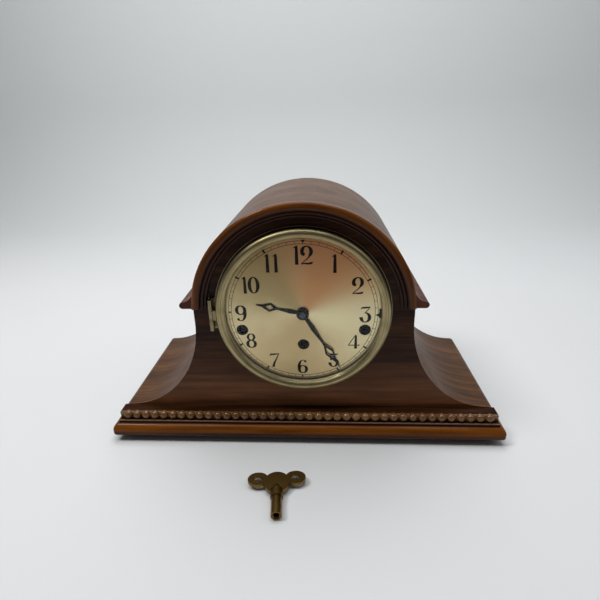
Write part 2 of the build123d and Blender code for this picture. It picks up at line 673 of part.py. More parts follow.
def make_door_case_leaves():
    """The leaves screwed to the back board, each with two knuckles and the pin."""
    leaves = []
    for height in DOOR_HINGE_HEIGHTS:
        lower, _, upper = knuckle_spans(height, DOOR_HINGE_LENGTH)
        leaf = upright(DOOR_AXIS_X, DOOR_AXIS_Y, DOOR_PIN_RADIUS, lower[0], upper[1])
        for span in (lower, upper):
            leaf += upright(DOOR_AXIS_X, DOOR_AXIS_Y, DOOR_KNUCKLE_RADIUS, *span)
            web = (DOOR_AXIS_X, DOOR_AXIS_X + DOOR_KNUCKLE_RADIUS)
            leaf += block(web, (CASE_BACK_Y, DOOR_AXIS_Y), span)
        plate_x = (DOOR_AXIS_X + DOOR_GAP, DOOR_AXIS_X + DOOR_LEAF_WIDTH)
        leaf += block(plate_x, (CASE_BACK_Y, CASE_BACK_Y + LEAF_THICKNESS), (lower[0], upper[1])) - upright(
            DOOR_AXIS_X, DOOR_AXIS_Y, DOOR_KNUCKLE_RADIUS + KNUCKLE_GAP, lower[1], upper[0]
        )
        leaves.append(leaf)
    return group(leaves)


def make_door_leaves():
    """The leaves screwed to the door, each with the middle knuckle."""
    leaves = []
    for height in DOOR_HINGE_HEIGHTS:
        lower, middle, upper = knuckle_spans(height, DOOR_HINGE_LENGTH)
        bore = upright(DOOR_AXIS_X, DOOR_AXIS_Y, DOOR_PIN_RADIUS + RUNNING_CLEARANCE, lower[0], upper[1])
        plate_x = (DOOR_HALF_WIDTH - DOOR_LEAF_WIDTH, DOOR_AXIS_X)
        plate = block(plate_x, (DOOR_REAR_Y, DOOR_REAR_Y + LEAF_THICKNESS), middle)
        leaves.append(upright(DOOR_AXIS_X, DOOR_AXIS_Y, DOOR_KNUCKLE_RADIUS, *middle) + plate - bore)
    return group(leaves)


def make_door_knob():
    place = (DOOR_KNOB_INSET - DOOR_HALF_WIDTH, DIAL_HEIGHT)
    neck_end_y = DOOR_REAR_Y + DOOR_KNOB_NECK_LENGTH
    head = rod(place, DOOR_KNOB_RADIUS, neck_end_y, neck_end_y + DOOR_KNOB_HEAD_LENGTH)
    return head + rod(place, DOOR_KNOB_NECK_RADIUS, DOOR_REAR_Y, neck_end_y)


BEZEL_AXIS_X = -(BEZEL_RADIUS + BEZEL_HINGE_OFFSET)
BEZEL_AXIS_Y = FRONT_Y - BEZEL_HINGE_REACH


def make_seat_ring():
    return rod(CENTRE, SEAT_RADIUS, SEAT_Y, FRONT_Y) - rod(CENTRE, SEAT_INNER_RADIUS, SEAT_Y, FRONT_Y)


def bezel_profile(outer, inner, back_y, crown_y, crown):
    """A round-topped ring section, as radius and depth."""
    middle = (outer + inner) / 2
    spring_y = crown_y + crown
    return [
        Line((inner, back_y), (outer, back_y)),
        Line((outer, back_y), (outer, spring_y)),
        ThreePointArc((outer, spring_y), (middle, crown_y), (inner, spring_y)),
        Line((inner, spring_y), (inner, back_y)),
    ]


def make_bezel_ring():
    shell = turned(
        bezel_profile(BEZEL_RADIUS, BEZEL_SIGHT_RADIUS, BEZEL_BACK_Y, BEZEL_FRONT_Y, BEZEL_CROWN), CENTRE
    )
    cavity = rod(CENTRE, BEZEL_RADIUS - BEZEL_WALL, BEZEL_BACK_Y, GLASS_EDGE_Y)
    return shell - cavity


def dome_drop(radius):
    """How far the glass falls back from its crown at a radius."""
    sphere = (GLASS_RADIUS**2 + GLASS_RISE**2) / (2 * GLASS_RISE)
    return sphere - math.sqrt(sphere**2 - radius**2)


def make_bezel_glass():
    """A domed glass with a flat rim, seated behind the lip of the bezel."""
    rim_radius = BEZEL_SIGHT_RADIUS - BEZEL_GAP
    crown_front_y = GLASS_EDGE_Y - dome_drop(rim_radius)
    half = rim_radius / 2
    front_middle = (half, crown_front_y + dome_drop(half))
    back_middle = (half, crown_front_y + dome_drop(half) + GLASS_THICKNESS)
    edges = [
        Line((0, crown_front_y + GLASS_THICKNESS), (0, crown_front_y)),
        ThreePointArc((0, crown_front_y), front_middle, (rim_radius, GLASS_EDGE_Y)),
        Line((rim_radius, GLASS_EDGE_Y), (GLASS_RADIUS, GLASS_EDGE_Y)),
        Line((GLASS_RADIUS, GLASS_EDGE_Y), (GLASS_RADIUS, GLASS_EDGE_Y + GLASS_THICKNESS)),
        Line((GLASS_RADIUS, GLASS_EDGE_Y + GLASS_THICKNESS), (rim_radius, GLASS_EDGE_Y + GLASS_THICKNESS)),
        ThreePointArc(
            (rim_radius, GLASS_EDGE_Y + GLASS_THICKNESS), back_middle, (0, crown_front_y + GLASS_THICKNESS)
        ),
    ]
    return turned(edges, CENTRE)


def make_bezel_hinge_bracket():
    """The fixed half of the bezel hinge, with its pin."""
    lower, _, upper = knuckle_spans(DIAL_HEIGHT, BEZEL_HINGE_LENGTH)
    bracket = upright(BEZEL_AXIS_X, BEZEL_AXIS_Y, BEZEL_PIN_RADIUS, lower[0], upper[1])
    web_x = (BEZEL_AXIS_X - BEZEL_KNUCKLE_RADIUS / 2, BEZEL_AXIS_X + BEZEL_KNUCKLE_RADIUS / 2)
    for span in (lower, upper):
        bracket += upright(BEZEL_AXIS_X, BEZEL_AXIS_Y, BEZEL_KNUCKLE_RADIUS, *span)
        bracket += block(web_x, (BEZEL_AXIS_Y, FRONT_Y), span)
    plate_x = (web_x[0] - BEZEL_PIN_RADIUS, -BEZEL_RADIUS)
    plate = block(plate_x, (FRONT_Y - LEAF_THICKNESS, FRONT_Y), (lower[0], upper[1]))
    return bracket + plate - rod(CENTRE, SEAT_RADIUS, SEAT_Y, FRONT_Y)


def make_bezel_hinge_arm():
    """The moving half of the bezel hinge, fixed to the bezel's wall."""
    lower, middle, upper = knuckle_spans(DIAL_HEIGHT, BEZEL_HINGE_LENGTH)
    arm_y = (BEZEL_AXIS_Y - BEZEL_PIN_RADIUS, BEZEL_AXIS_Y + BEZEL_PIN_RADIUS)
    arm = upright(BEZEL_AXIS_X, BEZEL_AXIS_Y, BEZEL_KNUCKLE_RADIUS, *middle)
    arm += block((BEZEL_AXIS_X, -BEZEL_RADIUS + BEZEL_WALL), arm_y, middle)
    arm -= upright(BEZEL_AXIS_X, BEZEL_AXIS_Y, BEZEL_PIN_RADIUS + RUNNING_CLEARANCE, lower[0], upper[1])
    return arm - rod(CENTRE, BEZEL_RADIUS, *arm_y)


def make_dial_plate():
    """The dial with its winding holes and lever slot."""
    plate = rod(CENTRE, DIAL_RADIUS, DIAL_Y, SEAT_Y) - rod(CENTRE, CENTRE_HOLE_RADIUS, DIAL_Y, SEAT_Y)
    plate -= [rod(place, WINDING_HOLE_RADIUS, DIAL_Y, SEAT_Y) for place in WINDING_PLACES]
    slot_half_width = LEVER_STEM_WIDTH / 2 + RUNNING_CLEARANCE
    slot_half_height = LEVER_STEM_WIDTH / 2 + LEVER_TRAVEL + RUNNING_CLEARANCE
    return plate - block(
        (LEVER_RADIUS - slot_half_width, LEVER_RADIUS + slot_half_width),
        (DIAL_Y, SEAT_Y),
        (DIAL_HEIGHT - slot_half_height, DIAL_HEIGHT + slot_half_height),
    )


def make_silent_lever():
    """The strike and silent lever: a tab on the dial, a stem through the slot and an arm behind."""
    half = LEVER_STEM_WIDTH / 2
    tab_x = (LEVER_RADIUS - LEVER_WIDTH / 2, LEVER_RADIUS + LEVER_WIDTH / 2)
    tab_y = (DIAL_Y - RUNNING_CLEARANCE - LEVER_THICKNESS, DIAL_Y - RUNNING_CLEARANCE)
    tab = block(tab_x, tab_y, (DIAL_HEIGHT - LEVER_LENGTH / 2, DIAL_HEIGHT + LEVER_LENGTH / 2))
    arm_y = (SEAT_Y + RUNNING_CLEARANCE, SEAT_Y + RUNNING_CLEARANCE + LEVER_THICKNESS)
    stem_x = (LEVER_RADIUS - half, LEVER_RADIUS + half)
    stem_z = (DIAL_HEIGHT - half, DIAL_HEIGHT + half)
    stem = block(stem_x, (tab_y[1], arm_y[0]), stem_z)
    arm = block((LEVER_RADIUS - LEVER_ARM_LENGTH, stem_x[1]), arm_y, stem_z)
    return tab + stem + arm


def hand(length, bore, start_y, clock_angle):
    """A pierced kite hand, drawn pointing up and turned clockwise to its clock angle."""
    kite_low = HAND_KITE_LOW_SHARE * length
    kite_wide = HAND_KITE_WIDE_SHARE * length
    kite_high = HAND_KITE_HIGH_SHARE * length
    right = [
        (HAND_NECK_HALF_WIDTH, 0),
        (HAND_BAR_HALF_WIDTH, HAND_SWELL_SHARE * length),
        (HAND_NECK_HALF_WIDTH, HAND_NECK_SHARE * length),
        (HAND_NECK_HALF_WIDTH, kite_low),
        (HAND_KITE_HALF_WIDTH, kite_wide),
        (HAND_NECK_HALF_WIDTH, kite_high),
        (HAND_TIP_HALF_WIDTH, length),
    ]
    outline = polygon(right + [(-x, z) for x, z in reversed(right)])
    inner_half = HAND_KITE_HALF_WIDTH - HAND_RIM
    pierced_low = (0, kite_low + 2 * HAND_RIM)
    pierced_high = (0, kite_high - 2 * HAND_RIM)
    piercing = polygon([pierced_low, (inner_half, kite_wide), pierced_high, (-inner_half, kite_wide)])
    end_y = start_y + HAND_THICKNESS
    blade = slab(outline - piercing, start_y, end_y) + rod((0, 0), HAND_HUB_RADIUS, start_y, end_y)
    return Pos(0, 0, DIAL_HEIGHT) * Rot(0, clock_angle, 0) * (blade - rod((0, 0), bore, start_y, end_y))


def make_minute_hand():
    return hand(MINUTE_HAND_LENGTH, STAFF_RADIUS, MINUTE_HAND_Y, SHOWN_MINUTE * 6)


def make_hour_hand():
    return hand(HOUR_HAND_LENGTH, PIPE_RADIUS, HOUR_HAND_Y, SHOWN_HOUR * 30 + SHOWN_MINUTE / 2)


def make_hand_nut():
    nut = rod(CENTRE, HAND_NUT_RADIUS, MINUTE_HAND_Y - HAND_NUT_HEIGHT, MINUTE_HAND_Y)
    nut = fillet(nut.edges().group_by(Axis.Y)[0], HAND_NUT_HEIGHT / 3)
    return nut - rod(CENTRE, STAFF_RADIUS, MINUTE_HAND_Y - HAND_NUT_HEIGHT / 2, MINUTE_HAND_Y)


PLATE_CORNERS = [
    (x, z)
    for x in (PLATE_CORNER_INSET - PLATE_HALF_WIDTH, PLATE_HALF_WIDTH - PLATE_CORNER_INSET)
    for z in (PLATE_BOTTOM + PLATE_CORNER_INSET, PLATE_TOP - PLATE_CORNER_INSET)
]


def make_plate(start_y):
    """A movement plate with holes for the winding arbors and the pivots."""
    end_y = start_y + PLATE_THICKNESS
    plate = block((-PLATE_HALF_WIDTH, PLATE_HALF_WIDTH), (start_y, end_y), (PLATE_BOTTOM, PLATE_TOP))
    plate = fillet(plate.edges().filter_by(Axis.Y), PLATE_CORNER_INSET)
    holes = [rod(place, ARBOR_PIVOT_RADIUS + RUNNING_CLEARANCE, start_y, end_y) for place in WINDING_PLACES]
    holes += [rod(place, SHAFT_HOLE_RADIUS, start_y, end_y) for place in STAFF_PLACES]
    return plate - holes


def make_front_plate():
    """The front plate, with the studs of the clicks and of the minute wheel."""
    clearance = rod(CENTRE, STAFF_RADIUS + RUNNING_CLEARANCE, PLATE_FRONT_Y, PLATE_INNER_Y)
    plate = make_plate(PLATE_FRONT_Y) - clearance
    stud_y = PLATE_FRONT_Y - END_SHAKE - RATCHET_THICKNESS
    plate += [rod(click_pivot(place), CLICK_STUD_RADIUS, stud_y, PLATE_FRONT_Y) for place in WINDING_PLACES]
    return plate + rod(MINUTE_PLACE, PIVOT_RADIUS, HOUR_WHEEL_Y, PLATE_FRONT_Y)


def make_back_plate():
    """The back plate, opened where the verge and the chime drum pass through."""
    plate = make_plate(BACK_PLATE_Y)
    return plate - [
        rod(place, STAFF_RADIUS + RUNNING_CLEARANCE, BACK_PLATE_Y, PLATE_REAR_Y)
        for place in (VERGE_PLACE, DRUM_PLACE)
    ]


def make_plate_pillars():
    """Three posts to the dial, and at each plate corner a post to the panel, a pillar and a nut."""
    dial_posts = [
        (-DIAL_FOOT_SPREAD / 2, DIAL_HEIGHT + DIAL_FOOT_RISE),
        (DIAL_FOOT_SPREAD / 2, DIAL_HEIGHT + DIAL_FOOT_RISE),
        (0, DIAL_HEIGHT - DIAL_FOOT_DROP),
    ]
    pillars = [rod(place, DIAL_FOOT_RADIUS, SEAT_Y, PLATE_FRONT_Y) for place in dial_posts]
    for place in PLATE_CORNERS:
        pillars.append(rod(place, POST_RADIUS, PANEL_BACK_Y, PLATE_FRONT_Y))
        pillars.append(rod(place, PILLAR_RADIUS, PLATE_INNER_Y, BACK_PLATE_Y))
        pillars.append(rod(place, PLATE_NUT_RADIUS, PLATE_REAR_Y, PLATE_REAR_Y + PLATE_NUT_HEIGHT))
    return group(pillars)


def make_barrel(place, mesh):
    """A spring barrel with its great wheel, and the coiled spring inside as one pack."""
    start_y = layer(LAYER_BARREL)
    drum = rod(place, BARREL_RADIUS, start_y, GREAT_Y) - rod(
        place, BARREL_RADIUS - BARREL_WALL, start_y + BARREL_WALL, GREAT_Y
    )
    great = slab(
        gear_face(mesh.wheel, mesh.module, place, 0.0, True), GREAT_Y, GREAT_Y + WHEEL_THICKNESS
    )
    bore = rod(place, ARBOR_RADIUS + RUNNING_CLEARANCE, start_y, GREAT_Y + WHEEL_THICKNESS)
    spring_y = (start_y + BARREL_WALL + SPRING_GAP, GREAT_Y - SPRING_GAP)
    spring = rod(place, BARREL_RADIUS - BARREL_WALL - SPRING_GAP, *spring_y)
    spring -= rod(place, SPRING_CORE_RADIUS, *spring_y)
    return group([drum + great - bore, spring])


def make_winding_arbor(place):
    """An arbor with pivots in both plates, a squared end behind the dial and its ratchet wheel."""
    arbor = rod(place, ARBOR_RADIUS, PLATE_INNER_Y + END_SHAKE, BACK_PLATE_Y - END_SHAKE)
    ratchet_y = (PLATE_FRONT_Y - END_SHAKE - RATCHET_THICKNESS, PLATE_FRONT_Y - END_SHAKE)
    arbor += rod(place, ARBOR_PIVOT_RADIUS, ratchet_y[0], PLATE_REAR_Y)
    points = []
    for tooth in range(RATCHET_TEETH):
        start = 360 * tooth / RATCHET_TEETH
        points.append(polar(place, RATCHET_RADIUS, start))
        points.append(polar(place, RATCHET_RADIUS - RATCHET_TOOTH, start + RATCHET_UNDERCUT))
    arbor += slab(polygon(points), *ratchet_y)
    half = ARBOR_SQUARE / 2
    square_y = (DIAL_Y + ARBOR_RECESS, ratchet_y[0])
    return arbor + block((place[0] - half, place[0] + half), square_y, (place[1] - half, place[1] + half))


def click_pivot(place):
    return polar(place, CLICK_PIVOT_REACH, CLICK_PIVOT_ANGLE)


def make_click(place):
    """A click whose tip rests just outside the ratchet's teeth."""
    pivot = click_pivot(place)
    tip = polar(place, RATCHET_RADIUS + CLICK_GAP, CLICK_TIP_ANGLE)
    run = math.atan2(tip[1] - pivot[1], tip[0] - pivot[0])
    side = math.degrees(run) + 90
    blade = polygon(
        [
            polar(pivot, CLICK_HUB_RADIUS, side),
            polar(pivot, CLICK_HUB_RADIUS, side + 180),
            polar(polar(tip, CLICK_TIP_HALF_WIDTH, CLICK_TIP_ANGLE), CLICK_TIP_HALF_WIDTH, side + 180),
            polar(polar(tip, CLICK_TIP_HALF_WIDTH, CLICK_TIP_ANGLE), CLICK_TIP_HALF_WIDTH, side),
        ]
    )
    span = (PLATE_FRONT_Y - END_SHAKE - RATCHET_THICKNESS, PLATE_FRONT_Y - END_SHAKE)
    body = slab(blade, *span) + rod(pivot, CLICK_HUB_RADIUS, *span)
    return body - rod(pivot, CLICK_STUD_RADIUS + RUNNING_CLEARANCE, *span)


def make_second_wheel():
    phase = mesh_phase(TIME_ARBOR, GREAT_MESH.wheel, 0.0, SECOND_PLACE, GREAT_MESH.pinion)
    leaves = pinion(GREAT_MESH.pinion, GREAT_MESH.module, SECOND_PLACE, GREAT_Y, phase)
    return staff(SECOND_PLACE) + leaves + wheel(SECOND_MESH.wheel, SECOND_MESH.module, SECOND_PLACE, SECOND_Y)


def make_centre_wheel():
    """The centre arbor with its pinion, wheel and cannon pinion, reaching out to the minute hand."""
    phase = mesh_phase(SECOND_PLACE, SECOND_MESH.wheel, 0.0, CENTRE, SECOND_MESH.pinion)
    arbor = rod(CENTRE, STAFF_RADIUS, MINUTE_HAND_Y - HAND_NUT_HEIGHT / 2, BACK_PLATE_Y - END_SHAKE)
    arbor += rod(CENTRE, PIVOT_RADIUS, BACK_PLATE_Y - END_SHAKE, PLATE_REAR_Y)
    arbor += rod(CENTRE, PIPE_BORE_RADIUS - RUNNING_CLEARANCE, MINUTE_HAND_Y + HAND_THICKNESS, CANNON_Y)
    cannon_face = gear_face(CANNON_MESH.pinion, CANNON_MESH.module, CENTRE, 0.0, False)
    cannon = slab(cannon_face, CANNON_Y, CANNON_Y + PINION_LENGTH)
    arbor += pinion(SECOND_MESH.pinion, SECOND_MESH.module, CENTRE, SECOND_Y, phase)
    return arbor + cannon + wheel(CENTRE_MESH.wheel, CENTRE_MESH.module, CENTRE, CENTRE_Y)


def make_third_wheel():
    phase = mesh_phase(CENTRE, CENTRE_MESH.wheel, 0.0, THIRD_PLACE, CENTRE_MESH.pinion)
    leaves = pinion(CENTRE_MESH.pinion, CENTRE_MESH.module, THIRD_PLACE, CENTRE_Y, phase)
    return staff(THIRD_PLACE) + leaves + wheel(THIRD_MESH.wheel, THIRD_MESH.module, THIRD_PLACE, THIRD_Y)


def make_escape_wheel():
    phase = mesh_phase(THIRD_PLACE, THIRD_MESH.wheel, 0.0, ESCAPE_PLACE, THIRD_MESH.pinion)
    leaves = pinion(THIRD_MESH.pinion, THIRD_MESH.module, ESCAPE_PLACE, THIRD_Y, phase)
    points = []
    for tooth in range(ESCAPE_TEETH):
        start = 360 * tooth / ESCAPE_TEETH
        points.append(polar(ESCAPE_PLACE, ESCAPE_RADIUS, start))
        points.append(polar(ESCAPE_PLACE, ESCAPE_RADIUS - ESCAPE_TOOTH, start + 180 / ESCAPE_TEETH))
    return staff(ESCAPE_PLACE) + leaves + slab(polygon(points), ESCAPE_Y, ESCAPE_Y + WHEEL_THICKNESS)


COCK_Y = PLATE_REAR_Y + COCK_STANDOFF
COCK_REAR_Y = COCK_Y + COCK_THICKNESS
SUSPENSION_Y = COCK_REAR_Y + SUSPENSION_WIDTH / 2
COCK_TOP = VERGE_PLACE[1] + COCK_RISE
SPRING_TOP = COCK_TOP - SUSPENSION_BLOCK_HEIGHT
SPRING_BOTTOM = SPRING_TOP - SUSPENSION_SPRING_LENGTH


def make_verge():
    """The verge arbor with its pallets over the escape wheel and the crutch behind the back plate."""
    arbor = rod(VERGE_PLACE, STAFF_RADIUS, PLATE_INNER_Y + END_SHAKE, COCK_Y - END_SHAKE)
    arbor += rod(VERGE_PLACE, PIVOT_RADIUS, PLATE_FRONT_Y, COCK_REAR_Y - END_SHAKE)
    inner = ESCAPE_RADIUS + PALLET_CLEARANCE
    outer = inner + PALLET_THICKNESS
    low, high = 90 - PALLET_HALF_ANGLE, 90 + PALLET_HALF_ANGLE
    arms = make_face(
        [
            CenterArc(ESCAPE_PLACE, inner, low, high - low),
            CenterArc(ESCAPE_PLACE, outer, low, high - low),
            Line(polar(ESCAPE_PLACE, inner, low), polar(ESCAPE_PLACE, outer, low)),
            Line(polar(ESCAPE_PLACE, inner, high), polar(ESCAPE_PLACE, outer, high)),
        ]
    )
    pallet_y = (ESCAPE_Y, ESCAPE_Y + WHEEL_THICKNESS)
    arbor += slab(arms, *pallet_y) + rod(VERGE_PLACE, PALLET_THICKNESS, *pallet_y)
    crutch_y = (PLATE_REAR_Y + CRUTCH_GAP, PLATE_REAR_Y + CRUTCH_GAP + CRUTCH_THICKNESS)
    crutch_bottom = VERGE_PLACE[1] - CRUTCH_LENGTH
    arbor += block((-CRUTCH_HALF_WIDTH, CRUTCH_HALF_WIDTH), crutch_y, (crutch_bottom, VERGE_PLACE[1]))
    prong_in = PENDULUM_ROD_RADIUS + FORK_CLEARANCE
    prong_out = prong_in + FORK_PRONG
    fork_z = (crutch_bottom - FORK_HEIGHT, crutch_bottom)
    arbor += block((-prong_out, prong_out), crutch_y, fork_z)
    for side in ((prong_in, prong_out), (-prong_out, -prong_in)):
        arbor += block(side, (crutch_y[1], SUSPENSION_Y + PENDULUM_ROD_RADIUS), fork_z)
    return arbor


def make_back_cock():
    """The bridge behind the back plate that carries the verge and the pendulum's spring."""
    bottom = VERGE_PLACE[1] - COCK_DROP
    plate = block((-COCK_HALF_WIDTH, COCK_HALF_WIDTH), (COCK_Y, COCK_REAR_Y), (bottom, COCK_TOP))
    foot_x = (-COCK_HALF_WIDTH, COCK_HALF_WIDTH)
    plate += block(foot_x, (PLATE_REAR_Y, COCK_Y), (PLATE_TOP - COCK_FOOT_HEIGHT, PLATE_TOP))
    plate += block(
        (-SUSPENSION_BLOCK_HALF_WIDTH, SUSPENSION_BLOCK_HALF_WIDTH),
        (COCK_REAR_Y, COCK_REAR_Y + SUSPENSION_WIDTH),
        (SPRING_TOP, COCK_TOP),
    )
    return plate - rod(VERGE_PLACE, SHAFT_HOLE_RADIUS, COCK_Y, COCK_REAR_Y)


def make_suspension_spring():
    half = SUSPENSION_SPRING_THICKNESS / 2
    spring_y = (COCK_REAR_Y + END_SHAKE, COCK_REAR_Y + SUSPENSION_WIDTH)
    return block((-half, half), spring_y, (SPRING_BOTTOM, SPRING_TOP))


BOB_HEIGHT = ROD_HEIGHT + ROD_RADIUS + PENDULUM_GROUND_GAP + RATING_NUT_HEIGHT + BOB_RADIUS


def make_pendulum_rod():
    """The rod with its head under the suspension spring and the rating nut under the bob."""
    head_y = (COCK_REAR_Y + END_SHAKE, COCK_REAR_Y + SUSPENSION_WIDTH)
    head_x = (-PENDULUM_HEAD_HALF_WIDTH, PENDULUM_HEAD_HALF_WIDTH)
    nut_top = BOB_HEIGHT - BOB_RADIUS
    bar = upright(0, SUSPENSION_Y, PENDULUM_ROD_RADIUS, nut_top - RATING_NUT_HEIGHT, SPRING_BOTTOM)
    nut = upright(0, SUSPENSION_Y, RATING_NUT_RADIUS, nut_top - RATING_NUT_HEIGHT, nut_top)
    return bar + nut + block(head_x, head_y, (SPRING_BOTTOM - PENDULUM_HEAD_HEIGHT, SPRING_BOTTOM))


def make_pendulum_bob():
    """A round bob with eased edges, on the rod."""
    half = BOB_THICKNESS / 2
    disc = rod((0, BOB_HEIGHT), BOB_RADIUS, SUSPENSION_Y - half, SUSPENSION_Y + half)
    bob = fillet(disc.edges().filter_by(GeomType.CIRCLE), (BOB_THICKNESS - BOB_EDGE_THICKNESS) / 2)
    reach = BOB_RADIUS + RATING_NUT_HEIGHT
    return bob - upright(0, SUSPENSION_Y, PENDULUM_ROD_RADIUS, BOB_HEIGHT - reach, BOB_HEIGHT + reach)


def make_minute_wheel():
    phase = mesh_phase(CENTRE, CANNON_MESH.pinion, 0.0, MINUTE_PLACE, CANNON_MESH.wheel)
    start_y = CANNON_Y + (PINION_LENGTH - WHEEL_THICKNESS) / 2
    rim_face = gear_face(CANNON_MESH.wheel, CANNON_MESH.module, MINUTE_PLACE, phase, True)
    disc = slab(rim_face, start_y, start_y + WHEEL_THICKNESS)
    leaf_face = gear_face(HOUR_MESH.pinion, HOUR_MESH.module, MINUTE_PLACE, 0.0, False)
    leaves = slab(leaf_face, HOUR_WHEEL_Y, start_y)
    return disc + leaves - rod(MINUTE_PLACE, SHAFT_HOLE_RADIUS, HOUR_WHEEL_Y, PLATE_FRONT_Y)


def make_hour_wheel():
    """The hour wheel on its pipe, which runs on the centre arbor and carries the hour hand."""
    phase = mesh_phase(MINUTE_PLACE, HOUR_MESH.pinion, 0.0, CENTRE, HOUR_MESH.wheel)
    start_y = HOUR_WHEEL_Y + END_SHAKE
    rim_face = gear_face(HOUR_MESH.wheel, HOUR_MESH.module, CENTRE, phase, True)
    disc = slab(rim_face, start_y, start_y + WHEEL_THICKNESS)
    pipe = rod(CENTRE, PIPE_RADIUS, HOUR_HAND_Y, start_y)
    return disc + pipe - rod(CENTRE, PIPE_BORE_RADIUS, HOUR_HAND_Y, start_y + WHEEL_THICKNESS)


def make_train_second(arbor_place, place):
    """The second wheel of the strike or chime train."""
    phase = mesh_phase(arbor_place, SIDE_MESH.wheel, 0.0, place, SIDE_MESH.pinion)
    leaves = pinion(SIDE_MESH.pinion, SIDE_MESH.module, place, GREAT_Y, phase)
    return staff(place) + leaves + wheel(FLY_MESH.wheel, FLY_MESH.module, place, CENTRE_Y)


def make_fly(second_place, place):
    """A fly: an air brake of two flat vanes on a pinion arbor."""
    phase = mesh_phase(second_place, FLY_MESH.wheel, 0.0, place, FLY_MESH.pinion)
    leaves = pinion(FLY_MESH.pinion, FLY_MESH.module, place, CENTRE_Y, phase)
    vanes = block(
        (place[0] - FLY_HALF_SPAN, place[0] + FLY_HALF_SPAN),
        (layer(LAYER_FLY), layer(LAYER_FLY) + FLY_LENGTH),
        (place[1] - FLY_THICKNESS / 2, place[1] + FLY_THICKNESS / 2),
    )
    return staff(place) + leaves + vanes


def hammer_ys():
    return [HAMMER_FIRST_Y + index * HAMMER_PITCH for index in range(HAMMER_COUNT)]


def make_chime_drum():
    """The pin drum behind the back plate, on an arbor driven by the chime great wheel."""
    phase = mesh_phase(CHIME_ARBOR, SIDE_MESH.wheel, 0.0, DRUM_PLACE, SIDE_MESH.pinion)
    arbor = rod(DRUM_PLACE, STAFF_RADIUS, PLATE_INNER_Y + END_SHAKE, BRIDGE_Y - END_SHAKE)
    arbor += rod(DRUM_PLACE, PIVOT_RADIUS, PLATE_FRONT_Y, BRIDGE_Y + BRIDGE_THICKNESS)
    arbor += pinion(SIDE_MESH.pinion, SIDE_MESH.module, DRUM_PLACE, GREAT_Y, phase)
    margin = HAMMER_THICKNESS / 2
    arbor += rod(DRUM_PLACE, CHIME_DRUM_RADIUS, HAMMER_FIRST_Y - margin, HAMMER_LAST_Y + margin)
    pins = []
    for row, pin_y in enumerate(hammer_ys()):
        for pin in range(CHIME_PINS_PER_ROW):
            turn = 360 * (pin / CHIME_PINS_PER_ROW + row / (CHIME_PINS_PER_ROW * HAMMER_COUNT))
            stem = Pos(0, pin_y, CHIME_DRUM_RADIUS) * Cylinder(CHIME_PIN_RADIUS, 2 * CHIME_PIN_HEIGHT)
            pins.append(Pos(DRUM_PLACE[0], 0, DRUM_PLACE[1]) * Rot(0, turn, 0) * stem)
    return arbor + pins


def make_hammer_bridge():
    """The hammer shaft and the bridge that holds it and the drum's rear pivot."""
    shaft = rod(HAMMER_PLACE, HAMMER_SHAFT_RADIUS, PLATE_REAR_Y, BRIDGE_Y)
    prop_place = (DRUM_PLACE[0] - HAMMER_SHAFT_OFFSET, DRUM_PLACE[1] + HAMMER_SHAFT_DROP)
    prop = rod(prop_place, HAMMER_SHAFT_RADIUS, PLATE_REAR_Y, BRIDGE_Y)
    run = math.degrees(math.atan2(HAMMER_PLACE[1] - prop_place[1], HAMMER_PLACE[0] - prop_place[0]))
    corners = [
        polar(prop_place, BRIDGE_RADIUS, run + 90),
        polar(prop_place, BRIDGE_RADIUS, run - 90),
        polar(HAMMER_PLACE, BRIDGE_RADIUS, run - 90),
        polar(HAMMER_PLACE, BRIDGE_RADIUS, run + 90),
    ]
    strap_y = (BRIDGE_Y, BRIDGE_Y + BRIDGE_THICKNESS)
    strap = slab(polygon(corners), *strap_y)
    strap += [rod(place, BRIDGE_RADIUS, *strap_y) for place in (prop_place, HAMMER_PLACE)]
    return shaft + prop + (strap - rod(DRUM_PLACE, SHAFT_HOLE_RADIUS, *strap_y))


def make_hammer(middle_y):
    """A chime hammer: hub, tail towards the drum, arm and a round head over its rod."""
    span = (middle_y - HAMMER_THICKNESS / 2, middle_y + HAMMER_THICKNESS / 2)
    head_bottom = ROD_HEIGHT + ROD_RADIUS + HAMMER_ROD_GAP
    head_x = HAMMER_PLACE[0] + HAMMER_REACH
    head = upright(head_x, middle_y, HAMMER_HEAD_RADIUS, head_bottom, head_bottom + HAMMER_HEAD_HEIGHT)
    end = (head_x, head_bottom + HAMMER_HEAD_HEIGHT / 2)
    side = math.degrees(math.atan2(end[1] - HAMMER_PLACE[1], end[0] - HAMMER_PLACE[0])) + 90
    half = HAMMER_ARM_WIDTH / 2
    tail = polar(HAMMER_PLACE, HAMMER_TAIL_LENGTH, side + 90)
    tail_sides = [polar(tail, half, side), polar(tail, half, side + 180)]
    end_sides = [polar(end, half, side + 180), polar(end, half, side)]
    arm = polygon(tail_sides + end_sides)
    arm_y = (middle_y - half, middle_y + half)
    body = rod(HAMMER_PLACE, HAMMER_HUB_RADIUS, *span) + slab(arm, *arm_y) + head
    return body - rod(HAMMER_PLACE, HAMMER_SHAFT_RADIUS + RUNNING_CLEARANCE, *span)


ROD_BLOCK_X = HAMMER_PLACE[0] + HAMMER_REACH + ROD_BLOCK_BEYOND_HEAD


def make_rod_block():
    margin = ROD_BLOCK_SPACES * HAMMER_PITCH
    return block(
        (ROD_BLOCK_X, ROD_BLOCK_X + ROD_BLOCK_LENGTH),
        (HAMMER_FIRST_Y - margin, HAMMER_LAST_Y + margin),
        (BASE_TOP, BASE_TOP + ROD_BLOCK_HEIGHT),
    )


def make_chime_rods():
    rods = []
    for index, rod_y in enumerate(hammer_ys()):
        length = ROD_LONGEST - index * ROD_STEP
        middle = Pos(ROD_BLOCK_X - length / 2, rod_y, ROD_HEIGHT)
        rods.append(middle * Rot(0, 90, 0) * Cylinder(ROD_RADIUS, length))
    return group(rods)


